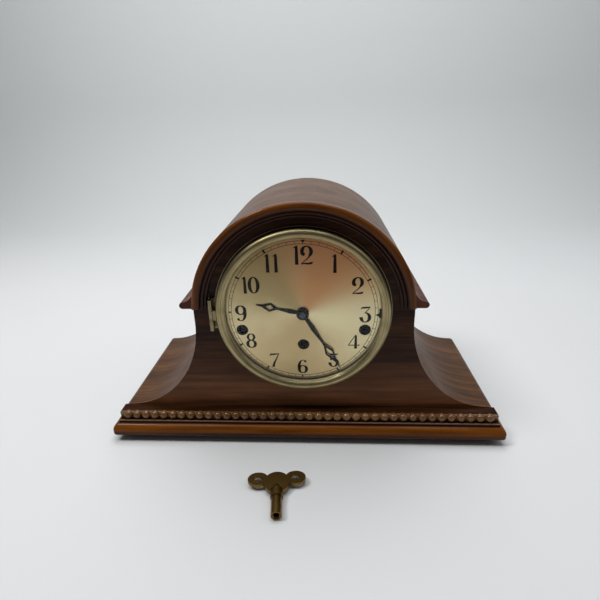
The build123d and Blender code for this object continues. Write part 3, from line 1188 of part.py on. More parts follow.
def make_winding_key():
    """The key on its side: a socketed barrel and a flat bow with two oval rings."""
    stem_end = KEY_BARREL_LENGTH + KEY_COLLAR_LENGTH
    along = Rot(-90, 0, 0)
    barrel = Pos(0, KEY_BARREL_LENGTH / 2, 0) * along * Cylinder(KEY_BARREL_RADIUS, KEY_BARREL_LENGTH)
    collar_y = stem_end - KEY_COLLAR_LENGTH / 2
    barrel += Pos(0, collar_y, 0) * along * Cylinder(KEY_COLLAR_RADIUS, KEY_COLLAR_LENGTH)
    taper_y = stem_end + KEY_TAPER_LENGTH / 2
    barrel += Pos(0, taper_y, 0) * along * Cone(KEY_COLLAR_RADIUS, KEY_TAPER_RADIUS, KEY_TAPER_LENGTH)
    socket = ARBOR_SQUARE + KEY_SOCKET_CLEARANCE
    mouth = Cone(KEY_MOUTH_RADIUS, socket / 2, KEY_MOUTH_DEPTH)
    outline = Pos(0, stem_end + KEY_SHIELD_REACH) * Circle(KEY_SHIELD_RADIUS)
    for side in (-1, 1):
        ring_place = Pos(side * KEY_RING_SPREAD, stem_end + KEY_RING_REACH)
        outline += ring_place * Ellipse(KEY_RING_HALF_WIDTH, KEY_RING_HALF_HEIGHT)
        outline -= ring_place * Ellipse(KEY_HOLE_HALF_WIDTH, KEY_HOLE_HALF_HEIGHT)
    whole = barrel + extrude(outline, amount=KEY_BOW_THICKNESS / 2, both=True)
    whole -= Pos(0, KEY_SOCKET_DEPTH / 2, 0) * Box(socket, KEY_SOCKET_DEPTH, socket)
    whole -= Pos(0, KEY_MOUTH_DEPTH / 2, 0) * along * mouth
    place = Pos(KEY_X, -BASE_DEPTH / 2 - KEY_SOCKET_Y_GAP, KEY_COLLAR_RADIUS)
    return place * Rot(0, 0, KEY_TURN) * whole


def make_parts():
    roof, shoulders = make_wrap()
    parts = {
        "feet": make_feet(),
        "base_board": make_base_board(),
        "bead_moulding": make_bead_moulding(),
        "front_panel": make_front_panel(),
        "front_veneer": make_front_veneer(),
        "roof": roof,
        "shoulders": shoulders,
        "hood_moulding": make_hood_moulding(),
        "side_cornices": make_side_cornices(),
        "back_board": make_back_board(),
        "back_door": make_back_door(),
        "door_case_leaves": make_door_case_leaves(),
        "door_leaves": make_door_leaves(),
        "door_knob": make_door_knob(),
        "bezel_seat_ring": make_seat_ring(),
        "bezel_ring": make_bezel_ring(),
        "bezel_glass": make_bezel_glass(),
        "bezel_hinge_bracket": make_bezel_hinge_bracket(),
        "bezel_hinge_arm": make_bezel_hinge_arm(),
        "dial_plate": make_dial_plate(),
        "silent_lever": make_silent_lever(),
        "minute_hand": make_minute_hand(),
        "hour_hand": make_hour_hand(),
        "hand_nut": make_hand_nut(),
        "front_plate": make_front_plate(),
        "back_plate": make_back_plate(),
        "plate_pillars": make_plate_pillars(),
        "second_wheel": make_second_wheel(),
        "centre_wheel": make_centre_wheel(),
        "third_wheel": make_third_wheel(),
        "escape_wheel": make_escape_wheel(),
        "verge": make_verge(),
        "back_cock": make_back_cock(),
        "suspension_spring": make_suspension_spring(),
        "pendulum_rod": make_pendulum_rod(),
        "pendulum_bob": make_pendulum_bob(),
        "minute_wheel": make_minute_wheel(),
        "hour_wheel": make_hour_wheel(),
        "strike_second_wheel": make_train_second(STRIKE_ARBOR, STRIKE_SECOND_PLACE),
        "strike_fly": make_fly(STRIKE_SECOND_PLACE, STRIKE_FLY_PLACE),
        "chime_second_wheel": make_train_second(CHIME_ARBOR, CHIME_SECOND_PLACE),
        "chime_fly": make_fly(CHIME_SECOND_PLACE, CHIME_FLY_PLACE),
        "chime_drum": make_chime_drum(),
        "hammer_bridge": make_hammer_bridge(),
        "rod_block": make_rod_block(),
        "chime_rods": make_chime_rods(),
        "winding_key": make_winding_key(),
    }
    for number, hammer_y in enumerate(hammer_ys(), 1):
        parts[f"chime_hammer_{number}"] = make_hammer(hammer_y)
    trains = (
        ("time", TIME_ARBOR, GREAT_MESH),
        ("strike", STRIKE_ARBOR, SIDE_MESH),
        ("chime", CHIME_ARBOR, SIDE_MESH),
    )
    for name, place, mesh in trains:
        parts[f"{name}_barrel"] = make_barrel(place, mesh)
        parts[f"{name}_winding_arbor"] = make_winding_arbor(place)
        parts[f"{name}_click"] = make_click(place)
    return parts


PARTS = make_parts()
os.makedirs("parts", exist_ok=True)
for name, shape in PARTS.items():
    export_step(shape, f"parts/{name}.step")
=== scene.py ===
"""A tambour shelf clock with its winding key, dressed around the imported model."""

from __future__ import annotations

import json
import logging
import math
from dataclasses import dataclass
from enum import Enum
from typing import Any, ClassVar, Sequence

import bmesh
import bpy
from mathutils import Matrix, Vector

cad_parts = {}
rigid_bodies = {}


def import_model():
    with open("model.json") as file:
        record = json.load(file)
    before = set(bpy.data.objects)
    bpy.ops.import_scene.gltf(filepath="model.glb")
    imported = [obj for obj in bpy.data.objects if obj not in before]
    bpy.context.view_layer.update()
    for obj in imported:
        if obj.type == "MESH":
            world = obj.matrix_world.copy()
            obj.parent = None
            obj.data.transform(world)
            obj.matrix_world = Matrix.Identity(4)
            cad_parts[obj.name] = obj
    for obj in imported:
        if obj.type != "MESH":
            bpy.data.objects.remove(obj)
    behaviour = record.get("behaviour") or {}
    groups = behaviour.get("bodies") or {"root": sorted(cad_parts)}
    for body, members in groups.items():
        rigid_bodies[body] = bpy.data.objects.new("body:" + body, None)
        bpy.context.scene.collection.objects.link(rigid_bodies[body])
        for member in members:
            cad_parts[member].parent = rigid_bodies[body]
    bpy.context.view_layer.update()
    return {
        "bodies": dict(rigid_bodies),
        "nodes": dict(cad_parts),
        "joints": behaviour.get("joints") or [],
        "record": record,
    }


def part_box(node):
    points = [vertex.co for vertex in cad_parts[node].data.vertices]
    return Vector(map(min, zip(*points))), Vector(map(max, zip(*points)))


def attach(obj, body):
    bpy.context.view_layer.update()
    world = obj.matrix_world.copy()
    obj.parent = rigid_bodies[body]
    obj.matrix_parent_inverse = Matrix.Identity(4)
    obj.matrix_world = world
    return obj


LOG = logging.getLogger("clock")
MM = 0.001
MERGE_DISTANCE = 1e-7
SHARP_ANGLE = math.radians(35)
SCREW_SIDES = 28
SCREW_SEED = 7
Point = tuple[float, float]
Colour = tuple[float, float, float]
Pattern = tuple[float, ...]


def paint(hex_code: str) -> Colour:
    """Turns a screen colour into the linear values that shaders use.

    Args:
        hex_code: Six hexadecimal digits.

    Returns:
        Linear red, green and blue.
    """
    channels = [int(hex_code[start : start + 2], 16) / 255 for start in (0, 2, 4)]
    low = 0.04045
    return tuple(c / 12.92 if c <= low else ((c + 0.055) / 1.055) ** 2.4 for c in channels)


@dataclass
class Wire:
    """A value socket in a node tree; arithmetic on it adds Math nodes."""

    graph: Graph
    socket: bpy.types.NodeSocket | None

    def _math(self, operation: str, *values: Any) -> Wire:
        """Adds one Math node on the given values."""
        return self.graph.node("ShaderNodeMath", {"operation": operation}, dict(enumerate(values)))

    def __add__(self, other: Any) -> Wire:
        """Adds."""
        return self._math("ADD", self, other)

    __radd__ = __add__

    def __sub__(self, other: Any) -> Wire:
        """Subtracts."""
        return self._math("SUBTRACT", self, other)

    def __rsub__(self, other: Any) -> Wire:
        """Subtracts this from a number."""
        return self._math("SUBTRACT", other, self)

    def __mul__(self, other: Any) -> Wire:
        """Multiplies."""
        return self._math("MULTIPLY", self, other)

    __rmul__ = __mul__

    def __pow__(self, other: Any) -> Wire:
        """Raises to a power."""
        return self._math("POWER", self, other)

    def arc_tangent(self, other: Any) -> Wire:
        """The angle of this over another value, in radians."""
        return self._math("ARCTAN2", self, other)

    def step(self, low: float, high: float) -> Wire:
        """A soft step from 0 at low to 1 at high."""
        settings = {"interpolation_type": "SMOOTHSTEP"}
        inputs = {"Value": self, "From Min": low, "From Max": high}
        return self.graph.node("ShaderNodeMapRange", settings, inputs)


class Graph:
    """A node tree that is written as expressions."""

    def __init__(self, tree: bpy.types.NodeTree) -> None:
        """Keeps the tree."""
        self.tree = tree

    def node(
        self,
        kind: str,
        settings: dict[str, Any] | None = None,
        inputs: dict[Any, Any] | None = None,
        out: Any = None,
    ) -> Wire:
        """Adds a node of any kind.

        Args:
            kind: The node's type.
            settings: Properties that are set first; a ramp's stops are given as "stops".
            inputs: Values or links, by the input's name or number.
            out: The output's name or number; the first that is in use by default.

        Returns:
            The output as a wire.
        """
        made = self.tree.nodes.new(kind)
        for name, value in (settings or {}).items():
            if name == "stops":
                self._set_stops(made.color_ramp, value)
            else:
                setattr(made, name, value)
        for name, value in (inputs or {}).items():
            socket = self._input(made, name)
            if isinstance(value, Wire):
                self.tree.links.new(value.socket, socket)
            else:
                socket.default_value = value
        if not made.outputs:
            return Wire(self, None)
        used = [socket for socket in made.outputs if socket.enabled]
        return Wire(self, used[0] if out is None else made.outputs[out])

    @staticmethod
    def _input(made: bpy.types.Node, name: Any) -> bpy.types.NodeSocket:
        """The enabled input with a name, or the input with a number."""
        if isinstance(name, int):
            return made.inputs[name]
        return next(socket for socket in made.inputs if socket.name == name and socket.enabled)

    @staticmethod
    def _set_stops(ramp: bpy.types.ColorRamp, stops: Sequence[tuple[float, Colour]]) -> None:
        """Writes a colour ramp's stops."""
        while len(ramp.elements) < len(stops):
            ramp.elements.new(1.0)
        for element, (position, colour) in zip(ramp.elements, stops):
            element.position = position
            element.color = (*colour, 1.0)


class Shader(Graph):
    """The tree of one material, with the textures that the finishes share."""

    def __init__(self, name: str) -> None:
        """Starts an empty material under a finish's name."""
        self.material = bpy.data.materials.new(name)
        self.material.use_nodes = True
        super().__init__(self.material.node_tree)
        self.tree.nodes.clear()
        self.place = self.node("ShaderNodeTexCoord", None, None, "Object")

    def stretched(self, scale: Sequence[float]) -> Wire:
        """Coordinates multiplied along each axis."""
        inputs = {"Vector": self.place, "Scale": tuple(scale)}
        return self.node("ShaderNodeMapping", {"vector_type": "POINT"}, inputs)

    def split(self) -> tuple[Wire, Wire, Wire]:
        """The three coordinates of a place."""
        first = self.node("ShaderNodeSeparateXYZ", None, {0: self.place})
        return tuple(Wire(self, socket) for socket in first.socket.node.outputs)

    def joined(self, x: Any, y: Any, z: Any) -> Wire:
        """A vector from three values."""
        return self.node("ShaderNodeCombineXYZ", None, {0: x, 1: y, 2: z})

    def polar(self, height: float) -> tuple[Wire, Wire]:
        """Distance and angle round the depth axis at a height."""
        x, _, z = self.split()
        rise = z - height
        return (x * x + rise * rise) ** 0.5, rise.arc_tangent(x)

    def noise(self, vector: Wire, scale: float, detail: float = 3.0, distortion: float = 0.0) -> Wire:
        """Soft noise between 0 and 1."""
        inputs = {"Vector": vector, "Scale": scale, "Detail": detail, "Distortion": distortion}
        return self.node("ShaderNodeTexNoise", None, inputs)

    def ramp(self, value: Wire, stops: Sequence[tuple[float, Colour]]) -> Wire:
        """A colour ramp over a value."""
        return self.node("ShaderNodeValToRGB", {"stops": stops}, {"Fac": value})

    def mix(self, share: Any, first: Any, second: Any) -> Wire:
        """A blend of two colours."""
        colours = [value if isinstance(value, Wire) else (*value, 1.0) for value in (first, second)]
        settings = {"data_type": "RGBA", "clamp_factor": True}
        return self.node("ShaderNodeMix", settings, {"Factor": share, "A": colours[0], "B": colours[1]})

    def bump(self, height: Wire, strength: float, distance: float) -> Wire:
        """A bump on the surface normal."""
        inputs = {"Strength": strength, "Distance": distance, "Height": height}
        return self.node("ShaderNodeBump", None, inputs)

    def surface(self, **sockets: Any) -> bpy.types.Material:
        """Closes the material with one principled shader.

        Args:
            sockets: Its inputs, with underscores for spaces.

        Returns:
            The finished material.
        """
        inputs = {}
        for name, value in sockets.items():
            is_colour = isinstance(value, tuple) and len(value) == 3
            inputs[name.replace("_", " ")] = (*value, 1.0) if is_colour else value
        body = self.node("ShaderNodeBsdfPrincipled", None, inputs)
        self.node("ShaderNodeOutputMaterial", None, {"Surface": body})
        return self.material


class Grain(Enum):
    """How the fibres of a wooden piece run, as the scale of their pattern along three axes."""

    ALONG_X = (0.55, 7.0, 8.0)
    ALONG_Z = (8.0, 7.0, 0.55)
    AROUND = (0.8, 8.0, 0.8)
    ARCHED = (9.0, 9.0, 0.07)


@dataclass(frozen=True)
class WoodFinish:
    """Stained and polished wood."""

    name: str
    dark: str
    middle: str
    light: str
    grain: Grain
    roughness: float = 0.35
    gloss: float = 0.25
    polish: float = 0.3
    dial_height: float = 0.0

    FIGURE: ClassVar[Pattern] = (9.0, 4.0, 0.6)
    LINES: ClassVar[Pattern] = (56.0, 5.0, 0.2)
    PORES: ClassVar[Pattern] = (240.0, 2.0)
    WEAR: ClassVar[Pattern] = (55.0, 3.0)

    def build(self) -> bpy.types.Material:
        """Makes the material, with figure, fibre lines, pores and an uneven polish."""
        shader = Shader(self.name)
        fibres = self._fibres(shader)
        broad = shader.noise(fibres, *self.FIGURE)
        lines = shader.noise(fibres, *self.LINES)
        pores = shader.noise(fibres, *self.PORES)
        tone = broad * 0.58 + lines * 0.42
        dark, middle, light = paint(self.dark), paint(self.middle), paint(self.light)
        colour = shader.ramp(tone, [(0.36, dark), (0.5, middle), (0.64, light)])
        pore_mask = pores.step(0.58, 0.7) * lines.step(0.35, 0.6)
        colour = shader.mix(pore_mask * 0.5, colour, tuple(channel * 0.5 for channel in dark))
        wear = shader.noise(shader.place, *self.WEAR)
        return shader.surface(
            Base_Color=self._stain_and_painted_light(shader, fibres, colour),
            Roughness=wear * 0.16 + pore_mask * 0.15 + (self.roughness - 0.08),
            Specular_IOR_Level=self.gloss,
            Coat_Weight=self._shine(shader),
            Coat_Roughness=0.08,
            Normal=shader.bump(lines * 0.6 - pore_mask * 0.5, 0.12, 0.0004),
        )

    def _stain_and_painted_light(self, shader: Shader, fibres: Wire, colour: Wire) -> Wire:
        """The stain and painted light over the wood; plain wood has none."""
        return colour

    @staticmethod
    def _amber(shader: Shader, fibres: Wire, amber: str, colour: Wire, share: float) -> Wire:
        """An amber tone, partly stain and partly painted highlight, streaked with a share of the wood's
        own colour.
        """
        streak = shader.noise(fibres, 26.0, 4.0).step(0.35, 0.7)
        return shader.mix(streak * share, paint(amber), colour)

    def _shine(self, shader: Shader) -> Any:
        """How much polish lies on the wood."""
        return self.polish

    def _fibres(self, shader: Shader) -> Wire:
        """Coordinates that are drawn out along the fibres."""
        if self.grain is not Grain.ARCHED:
            return shader.stretched(self.grain.value)
        out, deep, along = self.grain.value
        _, y, _ = shader.split()
        radius, angle = shader.polar(self.dial_height)
        return shader.joined(radius * out, y * deep, angle * along)


@dataclass(frozen=True)
class HoodFinish(WoodFinish):
    """Wood of the arched moulding: its outer band is amber, partly stain and partly painted highlight;
    its inner steps are dark.
    """

    amber: str = "75400d"
    edge: Point = (91.0 * MM, 99.0 * MM)

    def _stain_and_painted_light(self, shader: Shader, fibres: Wire, colour: Wire) -> Wire:
        """The amber stain and painted highlight by the distance from the dial's centre."""
        amber = self._amber(shader, fibres, self.amber, colour, 0.55)
        radius, _ = shader.polar(self.dial_height)
        # Amber outer band: partly stain, partly painted highlight.
        return shader.mix(radius.step(*self.edge), colour, amber)


@dataclass(frozen=True)
class BaseFinish(WoodFinish):
    """Wood of the base board: amber on the nose, partly stain and partly painted highlight; painted
    shade on the step above it; a painted highlight on its front top edge.
    """

    amber: str = "7c4408"
    pale: str = "8d6a55"
    nose: Point = (10.4 * MM, 12.4 * MM)
    painted_shade_step: Point = (17.9 * MM, 18.6 * MM)
    edge: Point = (20.1 * MM, 20.6 * MM)
    lip: Point = (-76.4 * MM, -77.2 * MM)

    def _stain_and_painted_light(self, shader: Shader, fibres: Wire, colour: Wire) -> Wire:
        """The amber stain with painted highlight on the nose, painted shade on the step and a painted
        highlight on its front top edge, by height and depth.
        """
        _, y, z = shader.split()
        amber = self._amber(shader, fibres, self.amber, colour, 0.6)
        # Amber on the nose: partly stain, partly painted highlight.
        stained = shader.mix(z.step(*self.nose), colour, amber)
        # Painted shade on the step's face and on the ledge behind it.
        stained = shader.mix(z.step(*self.painted_shade_step), stained, paint(self.dark))
        # Painted highlight along the front top edge of the step.
        worn = z.step(*self.edge) * y.step(*self.lip)
        return shader.mix(worn * 0.8, stained, paint(self.pale))


@dataclass(frozen=True)
class PanelFinish(WoodFinish):
    """Veneer of the front, with painted reflected light that makes it paler towards the base."""

    # Painted reflected light that pales the veneer towards the base.
    pale: str = "96623f"
    painted_light_fade: Point = (95.0 * MM, 22.0 * MM)

    def _stain_and_painted_light(self, shader: Shader, fibres: Wire, colour: Wire) -> Wire:
        """Painted reflected light, paler towards the base, by the height above the table."""
        _, _, z = shader.split()
        # Painted reflected light towards the base, streaked with the grain.
        streak = shader.noise(fibres, 22.0, 4.0).step(0.3, 0.7) * 0.45 + 0.4
        return shader.mix(z.step(*self.painted_light_fade) * streak, colour, paint(self.pale))


@dataclass(frozen=True)
class BeadFinish(WoodFinish):
    """Wood of the bead moulding: the strip behind the beads carries painted shade."""

    strip: Point = (-71.8 * MM, -71.0 * MM)
    strip_painted_shade: str = "2a170c"
    strip_painted_shade_streak: str = "3f2514"

    def _stain_and_painted_light(self, shader: Shader, fibres: Wire, colour: Wire) -> Wire:
        """Painted shade on the strip behind the beads, by the depth."""
        _, y, _ = shader.split()
        streak = shader.noise(fibres, 30.0, 4.0).step(0.4, 0.65)
        # Painted shade on the strip behind the beads, streaked with the grain.
        shade = shader.mix(streak, paint(self.strip_painted_shade), paint(self.strip_painted_shade_streak))
        return shader.mix(y.step(*self.strip), colour, shade)

    def _shine(self, shader: Shader) -> Any:
        """Polish on the beads only."""
        _, y, _ = shader.split()
        return (1.0 - y.step(*self.strip)) * self.polish


@dataclass(frozen=True)
class MetalFinish:
    """Brass or steel, with a worn polish and some tarnish."""

    name: str
    colour: str
    tarnish: str
    roughness: float = 0.2
    tarnish_share: float = 0.25
    metallic: float = 1.0
    brushed: Sequence[float] = (40.0, 40.0, 40.0)

    CLOUD: ClassVar[Pattern] = (90.0, 4.0, 0.4)
    SCRATCH: ClassVar[Pattern] = (30.0, 3.0)
    SPOTS: ClassVar[Pattern] = (420.0, 2.0)

    def build(self) -> bpy.types.Material:
        """Makes the material."""
        shader = Shader(self.name)
        cloud = shader.noise(shader.place, *self.CLOUD)
        scratch = shader.noise(shader.stretched(self.brushed), *self.SCRATCH)
        spots = shader.noise(shader.place, *self.SPOTS)
        mask = cloud.step(0.45, 0.75) * self.tarnish_share + spots.step(0.66, 0.8) * self.tarnish_share
        colour = shader.mix(mask, paint(self.colour), paint(self.tarnish))
        roughness = scratch * 0.14 + mask * 0.3 + (self.roughness - 0.07)
        return shader.surface(
            Base_Color=colour,
            Metallic=self.metallic,
            Roughness=roughness,
            Normal=shader.bump(scratch, 0.06, 0.0002),
        )


@dataclass(frozen=True)
class TurnedFinish:
    """Brass turned in rings about the dial's centre, with bands of another tone."""

    name: str
    colour: str
    tarnish: str
    bands: Sequence[tuple[float, float, str]]
    centre_height: float
    roughness: float = 0.3

    def build(self) -> bpy.types.Material:
        """Makes the material."""
        shader = Shader(self.name)
        radius, angle = shader.polar(self.centre_height)
        rings = shader.noise(shader.joined(radius * 1400.0, 0.0, angle * 0.6), 1.0, 2.0)
        cloud = shader.noise(shader.place, 70.0, 4.0, 0.4)
        mask = rings.step(0.35, 0.7) * 0.35 + cloud.step(0.4, 0.75) * 0.4
        colour = shader.mix(mask, paint(self.colour), paint(self.tarnish))
        for inner, outer, tone in self.bands:
            soft = (outer - inner) * 0.3
            share = radius.step(inner, inner + soft) * (1.0 - radius.step(outer - soft, outer))
            colour = shader.mix(share, colour, paint(tone))
        return shader.surface(
            Base_Color=colour,
            Metallic=0.95,
            Roughness=cloud * 0.14 + rings * 0.08 + (self.roughness - 0.1),
            Normal=shader.bump(rings, 0.12, 0.0002),
        )


@dataclass(frozen=True)
class PaintedSheen:
    """A sector of painted sheen and reflection on the spun dial, by angles clockwise from twelve."""

    rise: Point
    fall: Point
    tone: str
    share: float

    def cover(self, shader: Shader, angle: Wire, colour: Wire) -> Wire:
        """Lays the painted sheen's tone over a colour."""
        within = angle.step(*self.rise) * (1.0 - angle.step(*self.fall))
        return shader.mix(within * self.share, colour, paint(self.tone))


@dataclass(frozen=True)
class SpunFinish:
    """A gilt dial, spun in fine rings and lacquered, with painted sheen and reflection that change by
    sectors.
    """

    name: str
    colour: str
    warm: str
    painted_sheens: Sequence[PaintedSheen]
    centre_height: float
    roughness: float = 0.3

    def build(self) -> bpy.types.Material:
        """Makes the material."""
        shader = Shader(self.name)
        radius, angle = shader.polar(self.centre_height)
        rings = shader.noise(shader.joined(radius * 4000.0, 0.0, angle * 3.0), 1.0, 2.0)
        age = shader.noise(shader.place, 38.0, 4.0)
        x, _, z = shader.split()
        clockwise = x.arc_tangent(z - self.centre_height) + (age - 0.5) * 0.3
        colour = shader.mix(age.step(0.4, 0.75) * 0.5, paint(self.colour), paint(self.warm))
        # Each sector lays painted sheen and reflection over the dial's colour.
        for sheen in self.painted_sheens:
            colour = sheen.cover(shader, clockwise, colour)
        return shader.surface(
            Base_Color=colour,
            Metallic=0.9,
            Roughness=age * 0.1 + (self.roughness - 0.05),
            Coat_Weight=0.1,
            Coat_Roughness=0.2,
            Normal=shader.bump(rings, 0.4, 0.0001),
        )


@dataclass(frozen=True)
class PaintFinish:
    """Black paint or enamel, slightly worn."""

    name: str
    colour: str
    worn: str
    roughness: float = 0.35

    def build(self) -> bpy.types.Material:
        """Makes the material."""
        shader = Shader(self.name)
        wear = shader.noise(shader.place, 300.0, 3.0)
        colour = shader.mix(wear.step(0.55, 0.8) * 0.4, paint(self.colour), paint(self.worn))
        return shader.surface(
            Base_Color=colour,
            Roughness=wear * 0.2 + (self.roughness - 0.1),
            Specular_IOR_Level=0.2,
            Normal=shader.bump(wear, 0.05, 0.0001),
        )


@dataclass(frozen=True)
class GlassFinish:
    """Clear glass, seen by its reflections."""

    name: str

    def build(self) -> bpy.types.Material:
        """Makes the material."""
        shader = Shader(self.name)
        smear = shader.noise(shader.place, 30.0, 3.0)
        facing = shader.node("ShaderNodeLayerWeight", None, {"Blend": 0.5}, "Facing")
        clear = shader.node("ShaderNodeBsdfTransparent", None, {"Color": (0.985, 0.99, 0.985, 1.0)})
        gloss = shader.node(
            "ShaderNodeBsdfPrincipled",
            None,
            {"Base Color": (1.0, 1.0, 1.0, 1.0), "Metallic": 1.0, "Roughness": smear * 0.05 + 0.01},
        )
        mirrored = facing**5.0 * 0.9 + 0.012
        body = shader.node("ShaderNodeMixShader", None, {0: mirrored, 1: clear, 2: gloss})
        shader.node("ShaderNodeOutputMaterial", None, {"Surface": body})
        return shader.material


@dataclass(frozen=True)
class FloorFinish:
    """The plain pale surface round the clock, with a warm colour painted into its reflections further
    in front, as a painted reflection.
    """

    name: str
    colour: str
    warm: str
    backdrop: str
    near: Point = (-0.42, -0.66)
    far: Point = (0.3, 0.95)

    def build(self) -> bpy.types.Material:
        """Makes the material."""
        shader = Shader(self.name)
        cloud = shader.noise(shader.place, 2.5, 3.0)
        shade = tuple(channel * 0.94 for channel in paint(self.colour))
        pale = shader.mix(cloud, shade, paint(self.colour))
        x, y, _ = shader.split()
        pale = shader.mix(y.step(*self.far), pale, paint(self.backdrop))
        # A warm colour painted into glossy rays only: a painted reflection, not the floor's own colour.
        mirrored = shader.node("ShaderNodeLightPath", None, None, "Is Glossy Ray")
        warm = mirrored * y.step(*self.near) * (x.step(-0.6, 0.25) * 0.6 + 0.4)
        return shader.surface(Base_Color=shader.mix(warm, pale, paint(self.warm)), Roughness=0.9)


def linked(name: str, data: bpy.types.ID) -> bpy.types.Object:
    """A new object in the scene.

    Args:
        name: The object's name.
        data: Its mesh, light or camera.

    Returns:
        The object.
    """
    made = bpy.data.objects.new(name, data)
    bpy.context.scene.collection.objects.link(made)
    return made


@dataclass
class Workshop:
    """Makes meshes and hangs them on the clock's bodies."""

    frame: dict[str, Any]
    finishes: dict[str, bpy.types.Material]

    def dress(self, finish: str, *nodes: str) -> None:
        """Gives CAD nodes a finish.

        Args:
            finish: The finish's name.
            nodes: The nodes' names.
        """
        for node in nodes:
            self._coat(self.frame["nodes"][node].data, finish)
            LOG.info("dressed %s in %s", node, finish)

    def _coat(self, mesh: bpy.types.Mesh, finish: str) -> None:
        """Leaves one finish on a mesh."""
        mesh.materials.clear()
        mesh.materials.append(self.finishes[finish])

    def add(self, name: str, mesh: bpy.types.Mesh, body: str, finish: str, slot: str) -> None:
        """Adds a finished piece.

        Args:
            name: The piece's name.
            mesh: Its mesh, in place.
            body: The body that it rides on.
            finish: The finish's name.
            slot: The record's material slot; not used.
        """
        piece = linked(name, mesh)
        self._coat(mesh, finish)
        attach(piece, body)
        LOG.info("added %s on %s, %d faces", name, body, len(mesh.polygons))

    @staticmethod
    def mesh(name: str, shape: bmesh.types.BMesh, smooth: bool = False) -> bpy.types.Mesh:
        """Closes a bmesh into a mesh with outward faces.

        Args:
            name: The mesh's name.
            shape: The bmesh, which is freed.
            smooth: Whether faces are shaded smooth.

        Returns:
            The mesh.
        """
        bmesh.ops.remove_doubles(shape, verts=shape.verts, dist=MERGE_DISTANCE)
        bmesh.ops.recalc_face_normals(shape, faces=shape.faces)
        for face in shape.faces:
            face.smooth = smooth
        made = bpy.data.meshes.new(name)
        shape.to_mesh(made)
        shape.free()
        if smooth:
            made.set_sharp_from_angle(angle=SHARP_ANGLE)
        return made

    @staticmethod
    def grown(
        name: str, points: Sequence[Any], tree: NodeRecipe, values: dict[str, Any]
    ) -> bpy.types.Mesh:
        """Runs a geometry recipe over loose points and keeps the result as a plain mesh.

        Args:
            name: The new mesh's name.
            points: The points that the recipe starts from, in metres.
            tree: The recipe.
            values: Its named inputs.

        Returns:
            The plain mesh.
        """
        base = bpy.data.meshes.new(name)
        base.from_pydata(points, [], [])
        holder = linked(f"{name}_maker", base)
        modifier = holder.modifiers.new(name, "NODES")
        modifier.node_group = tree.group
        for label, value in values.items():
            modifier[tree.inputs[label]] = value
        bpy.context.view_layer.update()
        evaluated = holder.evaluated_get(bpy.context.evaluated_depsgraph_get())
        made = bpy.data.meshes.new_from_object(evaluated)
        made.name = name
        holder.modifiers.remove(modifier)
        bpy.data.objects.remove(holder)
        return made


class NodeRecipe(Graph):
    """A geometry tree with named inputs."""

    def __init__(self, name: str, inputs: dict[str, str]) -> None:
        """Starts the tree.

        Args:
            name: The recipe's name.
            inputs: Kinds of socket by input name, after the geometry.
        """
        self.group = bpy.data.node_groups.new(name, "GeometryNodeTree")
        super().__init__(self.group)
        face = self.group.interface
        face.new_socket("Geometry", in_out="INPUT", socket_type="NodeSocketGeometry")
        self.inputs = {}
        for label, kind in inputs.items():
            socket = face.new_socket(label, in_out="INPUT", socket_type=f"NodeSocket{kind}")
            self.inputs[label] = socket.identifier
        face.new_socket("Geometry", in_out="OUTPUT", socket_type="NodeSocketGeometry")
        self.entry = self.node("NodeGroupInput").socket.node

    def given(self, label: str) -> Wire:
        """The wire of a named input."""
        return Wire(self, self.entry.outputs[label])

    def close(self, geometry: Wire) -> None:
        """Ends the tree: instances made real, and the material set."""
        real = self.node("GeometryNodeRealizeInstances", None, {"Geometry": geometry})
        inputs = {"Geometry": real, "Material": self.given("Material")}
        done = self.node("GeometryNodeSetMaterial", None, inputs)
        self.node("NodeGroupOutput", None, {"Geometry": done})


def marks_recipe() -> NodeRecipe:
    """Flat bars set round a circle on the dial.

    Returns:
        The recipe, whose bars point away from the circle's centre.
    """
    kinds = {"Count": "Int", "Radius": "Float", "Size": "Vector", "Centre": "Vector"}
    kinds |= {"Turn": "Rotation", "Material": "Material"}
    recipe = NodeRecipe("dial_marks", kinds)
    sizes = {"Vertices": recipe.given("Count"), "Radius": recipe.given("Radius")}
    circle = recipe.node("GeometryNodeMeshCircle", None, sizes)
    bar = recipe.node("GeometryNodeMeshCube", None, {"Size": recipe.given("Size")})
    outward = recipe.node("GeometryNodeInputPosition")
    turn = recipe.node("FunctionNodeAlignRotationToVector", {"axis": "Y"}, {"Vector": outward})
    inputs = {"Points": circle, "Instance": bar, "Rotation": turn}
    placed = recipe.node("GeometryNodeInstanceOnPoints", None, inputs)
    move = {"Translation": recipe.given("Centre"), "Rotation": recipe.given("Turn")}
    recipe.close(recipe.node("GeometryNodeTransform", None, {"Geometry": placed, **move}))
    return recipe


